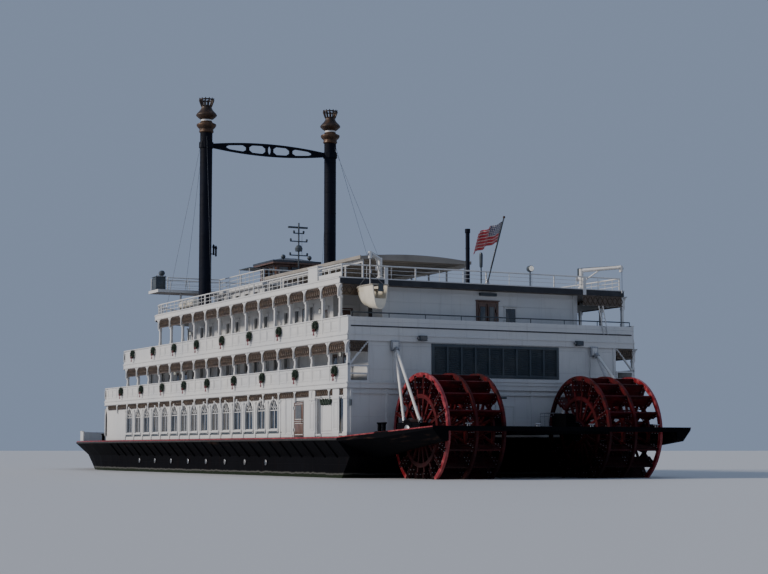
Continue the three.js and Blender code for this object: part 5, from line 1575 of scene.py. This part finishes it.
class UpperHouses(bpy.types.Operator):
    """Adds windows, joinery, visors, searchlights, mast lights and the exhaust pipe above the roof"""
    bl_idname = "showboat.upper_houses"
    bl_label = "Texas and pilothouse"

    def texas(self):
        """Windows on the sides and both ends of the house under the bridge."""
        (_, y0, _), (x1, y1, _) = limits("texas_house")
        spots = side_places(x1, np.arange(y0 + 1.6, y1 - 1, 2.1))
        form = Form().window(spots, (0.9, 14.1, 15.1, False), (-0.1, -0.08), -0.07)
        for y, out in ((y0, AFTWARD), (y1, FORWARD)):
            form.window((at((-2.6, -1.1, 1.1, 2.6), y, 0), out), (0.8, 14.1, 15.1, False), sash=0.02)
        form.add("white", slab(4.35, BRIDGE.aft - 0.05, BRIDGE.aft + 0.02, 15.5, BRIDGE.top))
        form.make("texas_windows", "white_paint")

    def pilothouse(self):
        """Three windows over three panels on each face, a band under the eaves and a visor each side."""
        y, half, eave = PILOTHOUSE.y, PILOTHOUSE.half, PILOTHOUSE.eave
        house, width = Form(), (2 * half - 0.4) / 3
        opening = (width - 0.16, PILOTHOUSE.sill, PILOTHOUSE.head, False)
        middle = np.array((0, y, 0))
        for out in (AFTWARD, FORWARD, -OUTWARD, OUTWARD):
            places = middle + half * out + width * np.array((-1, 0, 1))[:, None] * np.cross(UP, out)
            house.window((places, out), opening, (-0.08, -0.06), border=(0.0, 0.06), wood="joinery")
            house.stand("joinery", (places, out), panelled(width - 0.06, 0.66, None, BRIDGE.top + 0.05))
            house.stand("joinery", (places[1], out), slab(half, 17.5, 17.6, 0, 0.06))
        square = at((-eave, -eave, eave, eave), y + np.array((-eave, eave, eave, -eave)), PILOTHOUSE.ceiling)
        house.add("pilothouse_metal", moulding(square, oblong(-0.03, 0.05, 0.06, 0.22), True))
        house.add("joinery", moulding(square, oblong(-0.03, 0.03, -0.08, 0.06), True))
        corners, arms = at(3.95, (y - 1.1, y + 1.1), BRIDGE.top), at(half, (y - 1.1, y + 1.1), 17.3)
        house.both("slate", blocks((eave, y - 1.2, 17.27), (4.0, y + 1.2, 17.33)))
        house.both("white", bars(corners, corners + 1.55 * UP, 0.03), bars(arms, arms + 2.2 * OUTWARD, 0.03))
        house.make("pilothouse_joinery", "brown_joinery")

    def lights(self):
        """Searchlights on the wings, two lamps abaft the pilothouse, and the mast's lamps and scanner."""
        y, base = MAST_Y, BRIDGE.top + 1.1
        can = turned(((0.12, -0.2), (0.22, -0.12), (0.25, 0.1), (0.25, 0.2)), 20, FORWARD)
        lens = turned(((0.21, 0.19), (0.21, 0.22)), 20, FORWARD)
        spot = np.array((SEARCHLIGHT.x, SEARCHLIGHT.y, base))
        form = Form().both("steel", bars(spot - 0.25 * UP, spot + 0.25 * UP, 0.05))
        form.both("slate", moved(can, *(spot + 0.4 * UP))).both("lamp", moved(lens, *(spot + 0.4 * UP)))
        for x in (-1.15, 1.3):
            form.add("slate", moved(ball(0.2, 18.3), x, 33.95),
                     bars((x, 33.95, 17.9), (x, 33.95, 18.2), 0.05))
        lamp = turned(((0.05, 0.03), (0.09, 0.06), (0.09, 0.2), (0.04, 0.24)), 10)
        for z, reach in MAST_LAMPS:
            form.both("slate", moved(lamp, reach, y, z))
        form.add("slate", slab(0.9, y + 0.12, y + 0.3, 20.75, 20.9),
                 bars((0, y, 20.82), (0, y + 0.2, 20.82), 0.05))
        form.add("steel", bars((0.3, y, 18.5), (0.3, y, 20.2), 0.02, 6))
        form.make("lights", "bare_steel")

    def consoles(self):
        """A desk on each wing: panelled sides, a lid with two levers, and a grab rail along its aft edge."""
        low, high = limits("wing_console_starboard")
        size, middle, lid = high - low, (low + high) / 2 * (1, 1, 0), high[2]
        form = Form()
        for out in (AFTWARD, FORWARD, OUTWARD, -OUTWARD):
            reach, width = np.abs(out) @ size, np.abs(out[[1, 0, 2]]) @ size
            panel = panelled(width - 0.06, size[2] - 0.14, None, low[2] + 0.05)
            form.both("slate", upright(panel, middle + out * reach / 2, out))
        form.both("slate", boxes((low[0] - 0.05, low[1] - 0.05, lid), (size[0] + 0.1, size[1] + 0.1, 0.06)))
        levers = middle + (lid + 0.06) * UP + np.array(((-0.12, 0.05, 0.0), (0.12, 0.05, 0.0)))
        rail = at((low[0], high[0]), low[1] - 0.08, lid + 0.1)
        form.both("steel", bars(levers, levers + (0, 0.06, 0.2), 0.018),
                  copies(ball(0.04, 0.2, 10), levers + (0, 0.06, 0)), bars(rail[0], rail[1], 0.025),
                  bars(rail, rail + (0, 0.12, -0.08), 0.02, 6))
        form.make("console_fittings", "slate_paint")

    def exhaust(self):
        """A pipe with a flanged foot, an open mouth and a clamping band every 1.3 m."""
        (x0, y0, z0), (x1, y1, z1) = limits("exhaust_pipe")
        profile = ((0.27, z0), (0.27, z0 + 0.06), (0.2, z0 + 0.1), (0.2, z0 + 0.2), (0.155, z0 + 0.32),
                   (0.155, z1 - 0.32), (0.2, z1 - 0.28), (0.2, z1), (0.13, z1), (0.13, z1 - 0.4))
        bands = copies(turned(((0.17, 0), (0.17, 0.06)), 24), at(0, 0, np.arange(z0 + 0.9, z1 - 0.5, 1.3)))
        pipe = Form().add("stack", moved(joined(turned(profile, 32), bands), (x0 + x1) / 2, (y0 + y1) / 2))
        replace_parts(pipe.make("smooth_exhaust_pipe", "stack_black"), "exhaust_pipe")

    def execute(self, context):
        self.texas()
        self.pilothouse()
        self.lights()
        self.consoles()
        self.exhaust()
        return {"FINISHED"}


class Ensign(bpy.types.Operator):
    """Hangs the striped ensign from its staff, with its halyard and truck"""
    bl_idname = "showboat.ensign"
    bl_label = "Ensign"

    def on_staff(self, z):
        return np.array((0.0, ENSIGN.y - (z - ROOF) * math.tan(ENSIGN.rake), z))

    def cloth(self, start, down, level, across):
        """The cloth is ruled: v down the staff from the hoist's top, and u along a curve of unit speed whose
        way swings by ripple * sin(2 pi u / 0.92) across the fly and falls away towards the fly end."""
        u, v = np.linspace(0, ENSIGN.fly, 93), np.linspace(0, ENSIGN.hoist, 31)
        swing = sizes().ripple * np.minimum(1, u / 0.5) * np.sin(2 * np.pi * u / 0.92)
        way = unit(np.cos(swing)[:, None] * level + np.sin(swing)[:, None] * across + 0.42 * down)
        line = np.concatenate([[(0, 0, 0)], np.cumsum((way[1:] + way[:-1]) / 2 * np.diff(u)[:, None], 0)])
        points = start + line[None] + v[:, None, None] * down
        faces = grid_faces(31, 93, False, False)
        mesh = bpy.data.meshes.new("ensign_cloth")
        mesh.from_pydata(model_points(points.reshape(-1, 3)), [], faces.tolist())
        uv = np.stack(np.broadcast_arrays(u[None], v[:, None]), -1).reshape(-1, 2)
        layer = mesh.uv_layers.new(name="UVMap")
        layer.data.foreach_set("uv", uv[faces.reshape(-1)].reshape(-1).astype(np.float32))
        mesh.materials.append(finish("ensign"))
        cloth = placed("ensign_cloth", mesh)
        solidify = cloth.modifiers.new("Thickness", "SOLIDIFY")
        solidify.thickness, solidify.offset = 0.0006, 0.0
        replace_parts(cloth, "ensign_flag")

    def execute(self, context):
        top = ENSIGN.top - 0.25
        down = unit(np.array((0.0, math.tan(ENSIGN.rake), -1.0)))
        fly = unit(np.array((-0.78, 0.2, -0.55)))
        fly = unit(fly - 0.62 * down * (fly @ down))
        level = unit(fly - down * (fly @ down))
        start = self.on_staff(top) + level * 0.085
        self.cloth(start, down, level, unit(np.cross(fly, down)))
        offset, toggles = level * 0.075, start + down * np.array(((0.0,), (ENSIGN.hoist,)))
        gear = Form().add("bronze", moved(ball(0.09, 0.0, 14), *self.on_staff(ENSIGN.top + 0.04)))
        gear.add("rope", bars(self.on_staff(14.2) + offset, self.on_staff(top) + offset, 0.012, 6))
        gear.add("steel", bars(toggles - level * 0.05, toggles + level * 0.02, 0.02, 6),
                 moved(turned(((0.16, ROOF), (0.16, ROOF + 0.05), (0.09, ROOF + 0.3)), 16), 0, ENSIGN.y))
        gear.make("ensign_gear", "bare_steel")
        return {"FINISHED"}


class Boat(bpy.types.Operator):
    """Builds the rescue boat under its davit, with the falls, winches and braces of both davits"""
    bl_idname = "showboat.boat"
    bl_label = "Rescue boat and davits"

    def hull(self, low, high, x):
        """Sections from transom to stem: a flat keel, a round bilge and a flared side, whose breadth and
        keel height follow the boat's length through the rows of five stations."""
        s, t = np.linspace(0, 1, 25)[:, None], np.linspace(0, 1, 9)
        stations, heights = (0, 0.35, 0.65, 0.88, 1), (0, 0.3, 0.5, 0.65, 0.8, 1)
        half = RESCUE.half * np.interp(s, stations, (0.86, 1, 0.86, 0.44, 0.06))
        keel = RESCUE.keel + np.interp(s, stations, (0, 0.12, 0.4, 0.85, 1.2))
        flare = np.interp(t, heights, (0, 0.36, 0.62, 0.79, 0.9, 1))
        rise = np.interp(t, heights, (0, 0.04, 0.2, 0.45, 0.7, 1))
        right = at(x + half * flare, low[1] + s * (high[1] - low[1]), keel + (RESCUE.gunwale - keel) * rise)
        left = right[:, 1:] * (-1, 1, 1) + (2 * x, 0, 0)
        rings = np.concatenate([right[:, ::-1], left], 1)
        inner = rings.copy()
        inner[..., 0] = x + (rings[..., 0] - x) * 0.88
        inner[..., 2] = np.maximum(rings[..., 2] + 0.05, RESCUE.keel + 0.7)
        return rings, inner

    def boat(self):
        low, high = limits("rescue_boat")
        x = (low[0] + high[0]) / 2
        rings, inner = self.hull(low, high, x)
        hook = np.array((x, DAVIT.hook_y, 13.4))
        form = Form().add("gelcoat", skin(np.concatenate([rings, inner[:, ::-1]], 1)[::-1]))
        form.add("rope", run(np.concatenate([rings[:, 0], rings[::-1, -1]]), 0.05, 8, True))
        form.add("varnish", boxes(at(x - 0.52, (-1.5, -0.6, 0.1), RESCUE.gunwale - 0.3), (1.04, 0.28, 0.06)))
        form.add("slate", moved(slab(0.16, RESCUE.aft - 0.14, RESCUE.aft + 0.02, 12.0, 12.5), x))
        form.add("wire", bars(every((x - 0.5, x + 0.5), (-1.6, 0.25), RESCUE.gunwale), hook, 0.02, 6))
        form.add("steel", bars(hook - 0.12 * UP, hook + 0.14 * UP, 0.07, 10))
        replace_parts(form.make("rescue_boat_detailed", "boat_gelcoat", "davit_port"), "rescue_boat")

    def execute(self, context):
        self.boat()
        y, head, hook_y = DAVIT.y, DAVIT.head, DAVIT.hook_y
        sheave = turned(((0.17, -0.06), (0.13, -0.02), (0.13, 0.02), (0.17, 0.06)), 20, FORWARD)
        winch = ((0.16, -0.16), (0.2, -0.14), (0.1, -0.12), (0.1, 0.12), (0.2, 0.14), (0.16, 0.16))
        winch = turned(winch, 20, OUTWARD)
        for name, side in SIDES.items():
            hx, px = side * DAVIT.hook_x, side * DAVIT.x
            fall, end = at(hx, hook_y - 0.1, (head - 0.1, 13.5 if side < 0 else 13.0))
            crook = np.array((px, y, head + 0.06))
            gear = Form().add("steel", moved(sheave, hx, hook_y, head - 0.1),
                              moved(winch, px, y + 0.24, 13.95), bars(end - 0.2 * UP, end, 0.06))
            gear.add("slate", moved(slab(0.13, y + 0.1, y + 0.32, 14.1, 14.7), px))
            gear.add("white", bars((px, y, head - 1.0),
                                   (px + (hx - px) * 0.45, y + (hook_y - y) * 0.45, head - 0.16), 0.05))
            gear.add("wire", bars(((px, y + 0.2, 14.05), crook, fall),
                                  (crook, fall + 0.2 * UP, end), 0.018, 6))
            gear.make(f"davit_gear_{name}", "bare_steel", f"davit_{name}")
        collars = Form().both("white", blocks((7.72, 1.1, 12.75), (7.98, 1.22, 13.95)))
        collars.make("davit_brackets", "white_paint")
        return {"FINISHED"}


class DoorTrim(bpy.types.Operator):
    """Adds panels, windows and handles to the boarding doors and the aft doors"""
    bl_idname = "showboat.door_trim"
    bl_label = "Door trim"

    def leaf(self, spot, width, panels, glass, knob):
        """A door's panels as (height, foot, frame), its window as (half, sill, head, face), and a handle."""
        handle = joined(bars((0, 0.9, 0.07), (0, 1.25, 0.07), 0.022),
                        bars(at(0, (0.94, 1.21), 0), at(0, (0.94, 1.21), 0.07), 0.018))
        half, sill, head, face = glass
        form = Form().stand("joinery", spot, *[panelled(width, height, None, foot, 0.0, 0.03, border)
                                               for height, foot, border in panels])
        form.stand("glass", spot, slab(half, sill, head, 0, face))
        return form.stand("bronze", spot, moved(handle, knob, 0, 0.02))

    def execute(self, context):
        width, tall = BOARDING.front - BOARDING.aft - 0.12, BOARDING.top - 2.7 - 0.12
        wide, middle = AFT_DOOR.width - 0.09, (BOARDING.aft + BOARDING.front) / 2
        for name, side in SIDES.items():
            spot = (side * HOUSES["main"].half, middle, 2.75), side * OUTWARD
            leaf = self.leaf(spot, width, ((tall * 0.42, 0.03, 0.09), (tall * 0.54, tall * 0.45, 0.09)),
                             (width * 0.3, tall * 0.52, tall * 0.9, 0.05), -side * (width / 2 - 0.12))
            leaf.make(f"boarding_door_panels_{name}", "white_paint", f"boarding_door_{name}")
            spot = (AFT_DOOR.middle + side * AFT_DOOR.width / 2, HOUSES["third"].aft, AFT_DOOR.sill), AFTWARD
            leaf = self.leaf(spot, wide, ((0.95, 0.06, 0.09), (1.36, 1.06, 0.07)),
                             (wide * 0.32, 1.18, 2.28, 0.045), side * (wide / 2 - 0.06))
            leaf.make(f"aft_door_panels_{name}", "brown_joinery", f"aft_door_{name}")
        return {"FINISHED"}


class Foredeck(bpy.types.Operator):
    """Adds bitts, a round capstan, a bell, a stair and a cap rail on the foredeck"""
    bl_idname = "showboat.foredeck"
    bl_label = "Foredeck gear"

    def gear(self, deck):
        """Bitts, two coils of rope, each a spiral that widens with its turns, and a hatch."""
        post = turned(((0.14, 0), (0.14, 0.55), (0.2, 0.6), (0.2, 0.68), (0.15, 0.72)), 20)
        bitts = joined(post, moved(post, 0.7), blocks((-0.25, -0.24, 0), (0.95, 0.24, 0.07)))
        form = Form()
        for y, x in BITTS:
            form.both("hull_black", moved(bitts, x, y, deck))
        turn = np.linspace(0, 2 * np.pi * 6, 180)
        radius = 0.18 + 0.05 * turn / 6
        coil = tube(at(radius * np.cos(turn), radius * np.sin(turn), 0.045), 0.04, 8)
        form.both("rope", moved(coil, 3.6, 68.6, deck))
        form.add("steel", moved(turned(((0.6, 0), (0.6, 0.03), (0.5, 0.06)), 32), -1.6, 73.2, deck))
        form.make("foredeck_gear", "bare_steel")

    def capstan(self):
        """A waisted drum as a profile of (share of the radius, height), with ten whelps."""
        (_, y0, z0), (r, y1, z1) = limits("capstan")
        profile = ((1, z0), (1, z0 + 0.1), (0.8, z0 + 0.14), (0.5, z0 + 0.28), (0.46, z0 + 0.5),
                   (0.5, z0 + 0.72), (0.74, z0 + 0.84), (0.74, z1 - 0.03), (0.6, z1))
        drum = turned(np.array(profile) * (r, 1), 40)
        whelps = around(bars((r * 0.5, 0, z0 + 0.2), (r * 0.62, 0, z0 + 0.84), 0.035), 10, True)
        y = (y0 + y1) / 2
        form = Form().add("steel", moved(drum, 0, y)).add("slate", moved(whelps, 0, y))
        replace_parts(form.make("smooth_capstan", "bare_steel", sharp=50), "capstan")

    def execute(self, context):
        deck = GUARD.top
        self.gear(deck)
        self.capstan()
        steps, sides, foot = np.arange(STAIR.steps), (-STAIR.half, STAIR.half), STAIR.foot
        treads = boxes(at(-0.9, foot - 0.3 - steps * STAIR.going, deck + STAIR.rise * (steps + 1) - 0.05),
                       (1.8, 0.3, 0.05))
        rim = edge_line(Record(half=11.55, aft=45.0, shoulder=50.0, front=75.75), deck + 0.9, 0.05, 60)
        form = Form().add("varnish", treads)
        form.add("white", bars(at(sides, foot, deck + 0.1), at(sides, STAIR.head, deck + 3.3), 0.07),
                 bars(at(sides, foot, deck + 1.1), at(sides, STAIR.head + 0.3, deck + 4.1), 0.035),
                 moulding(rim[rim[:, 1] > 60.0], oblong(-0.12, 0.06, 0, 0.07)))
        y, z = DECKS["second"].front - 1.9, DECKS["second"].top
        feet, heads = at((-0.42, 0.42), y, z), at((-0.42, 0.42), y, z + 1.15)
        bell = turned(((0.16, 0.04), (0.2, 0.0), (0.12, 0.14), (0.09, 0.3), (0.03, 0.34)))
        form.add("bronze", moved(bell, 0, y, z + 0.78))
        form.add("slate", bars(feet, heads, 0.05), run(heads, 0.05),
                 boxes(feet - (0.12, 0.12, 0), (0.24, 0.24, 0.05)))
        form.make("foredeck_joinery", "white_paint")
        return {"FINISHED"}


# Solids that are carried over with another finish than white paint, by the start of their names
SOLID_FINISHES = {
    "hull_black": ("hull", "outrigger", "stern_platform", "rudder"),
    "deck": ("second_deck", "third_deck", "roof_deck", "bridge_deck"),
    "joinery": ("aft_door", "pilothouse"),
    "pilothouse_metal": ("pilothouse_roof",),
    "canvas": ("canopy_roof",),
    "slate": ("wing_console", "aft_louvre", "signal_mast", "ensign_staff"),
    "stack": ("stack", "exhaust_pipe"),
    "red": ("wheel",),
    "gelcoat": ("rescue_boat",),
    "steel": ("capstan",),
    "ensign": ("ensign_flag",),
}


class PaintSolids(bpy.types.Operator):
    """Gives every solid that is carried over its finish; white paint where no other is named"""
    bl_idname = "showboat.paint_solids"
    bl_label = "Paint the solids"

    def execute(self, context):
        starts = {start: chosen for chosen, names in SOLID_FINISHES.items() for start in names}
        for name, solid in frame["nodes"].items():
            found = [start for start in starts if name.startswith(start)]
            for slot in solid.material_slots:
                slot.material = finish(starts[max(found, key=len)] if found else "white")
        return {"FINISHED"}


class Stage(bpy.types.Operator):
    """Lays the floor at the waterline, sets the light and stands the camera where the photo's stood"""
    bl_idname = "showboat.stage"
    bl_label = "Stage"

    def put(self, name, data, place, way):
        """A light or camera at a place, turned so that it looks along a way."""
        thing = bpy.data.objects.new(name, data)
        thing.location = place
        thing.rotation_euler = Vector(way).to_track_quat("-Z", "Y").to_euler()
        bpy.context.scene.collection.objects.link(thing)
        return thing

    def light(self, name, way, spread, strength, colour):
        """A far, broad light that shines one way, evenly over the whole floor."""
        data = bpy.data.lights.new(name, "SUN")
        data.energy, data.angle, data.color = strength, spread, colour
        self.put(name, data, Vector(way) * -20, way)

    def execute(self, context):
        scene = context.scene
        cosine, sine = circle(256)
        mesh = bpy.data.meshes.new("floor")
        mesh.from_pydata(at(cosine * 900, sine * 900, DRAFT * SCALE).tolist(), [], [list(range(256))])
        mesh.materials.append(finish("floor"))
        floor = bpy.data.objects.new("floor", mesh)
        scene.collection.objects.link(floor)
        scene.world = bpy.data.worlds.new("Studio")
        scene.world.use_nodes = True
        sky = scene.world.node_tree.nodes["Background"].inputs
        sky["Color"].default_value, sky["Strength"].default_value = (0.50, 0.63, 0.90, 1.0), 0.42
        self.light("key", (0.85, -0.27, -0.45), 0.2, 2.7, (1.0, 0.92, 0.83))
        self.light("fill", (-0.6, -0.5, -0.6), 1.0, 0.1, (0.85, 0.90, 1.0))
        camera = bpy.data.cameras.new("Camera")
        camera.lens, camera.sensor_width, camera.clip_end = sizes().lens, 36.0, 3000.0
        scene.camera = self.put("Camera", camera, CAMERA_PLACE, CAMERA_AIM)
        return {"FINISHED"}


OPERATORS = (PaintSolids, HullTrim, DeckMouldings, GalleryTrim, Wreaths, Windows, SideDoors, SternWall,
             Wheels, SternGear, Stacks, Spreader, Rails, Canopy, UpperHouses, Ensign, Boat, DoorTrim,
             Foredeck, Stage)


class ShowboatPanel(bpy.types.Panel):
    """Lists the settings and the pieces in the order in which they are made"""
    bl_idname = "VIEW3D_PT_showboat"
    bl_label = "Showboat"
    bl_space_type = "VIEW_3D"
    bl_region_type = "UI"
    bl_category = "Showboat"

    def draw(self, context):
        layout = self.layout
        for title, settings in (("Colours", colours()), ("Sizes", sizes())):
            box = layout.box()
            box.label(text=title)
            for key in settings.__annotations__:
                box.prop(settings, key)
        column = layout.column(align=True)
        for operator in OPERATORS:
            column.operator(operator.bl_idname)


CLASSES = (ShowboatColours, ShowboatSizes, *OPERATORS, ShowboatPanel)


def register():
    for added in CLASSES:
        bpy.utils.register_class(added)
    bpy.types.Scene.showboat_colours = PointerProperty(type=ShowboatColours)
    bpy.types.Scene.showboat_sizes = PointerProperty(type=ShowboatSizes)


def unregister():
    del bpy.types.Scene.showboat_sizes
    del bpy.types.Scene.showboat_colours
    for added in reversed(CLASSES):
        bpy.utils.unregister_class(added)


def main():
    """Makes every piece."""
    register()
    bpy.ops.showboat.paint_solids()
    bpy.ops.showboat.hull_trim()
    bpy.ops.showboat.deck_mouldings()
    bpy.ops.showboat.gallery_trim()
    bpy.ops.showboat.wreaths()
    bpy.ops.showboat.windows()
    bpy.ops.showboat.side_doors()
    bpy.ops.showboat.stern_wall()
    bpy.ops.showboat.wheels()
    bpy.ops.showboat.stern_gear()
    bpy.ops.showboat.stacks()
    bpy.ops.showboat.spreader()
    bpy.ops.showboat.rails()
    bpy.ops.showboat.canopy()
    bpy.ops.showboat.upper_houses()
    bpy.ops.showboat.ensign()
    bpy.ops.showboat.boat()
    bpy.ops.showboat.door_trim()
    bpy.ops.showboat.foredeck()
    bpy.ops.showboat.stage()


if __name__ == "__main__":
    main()
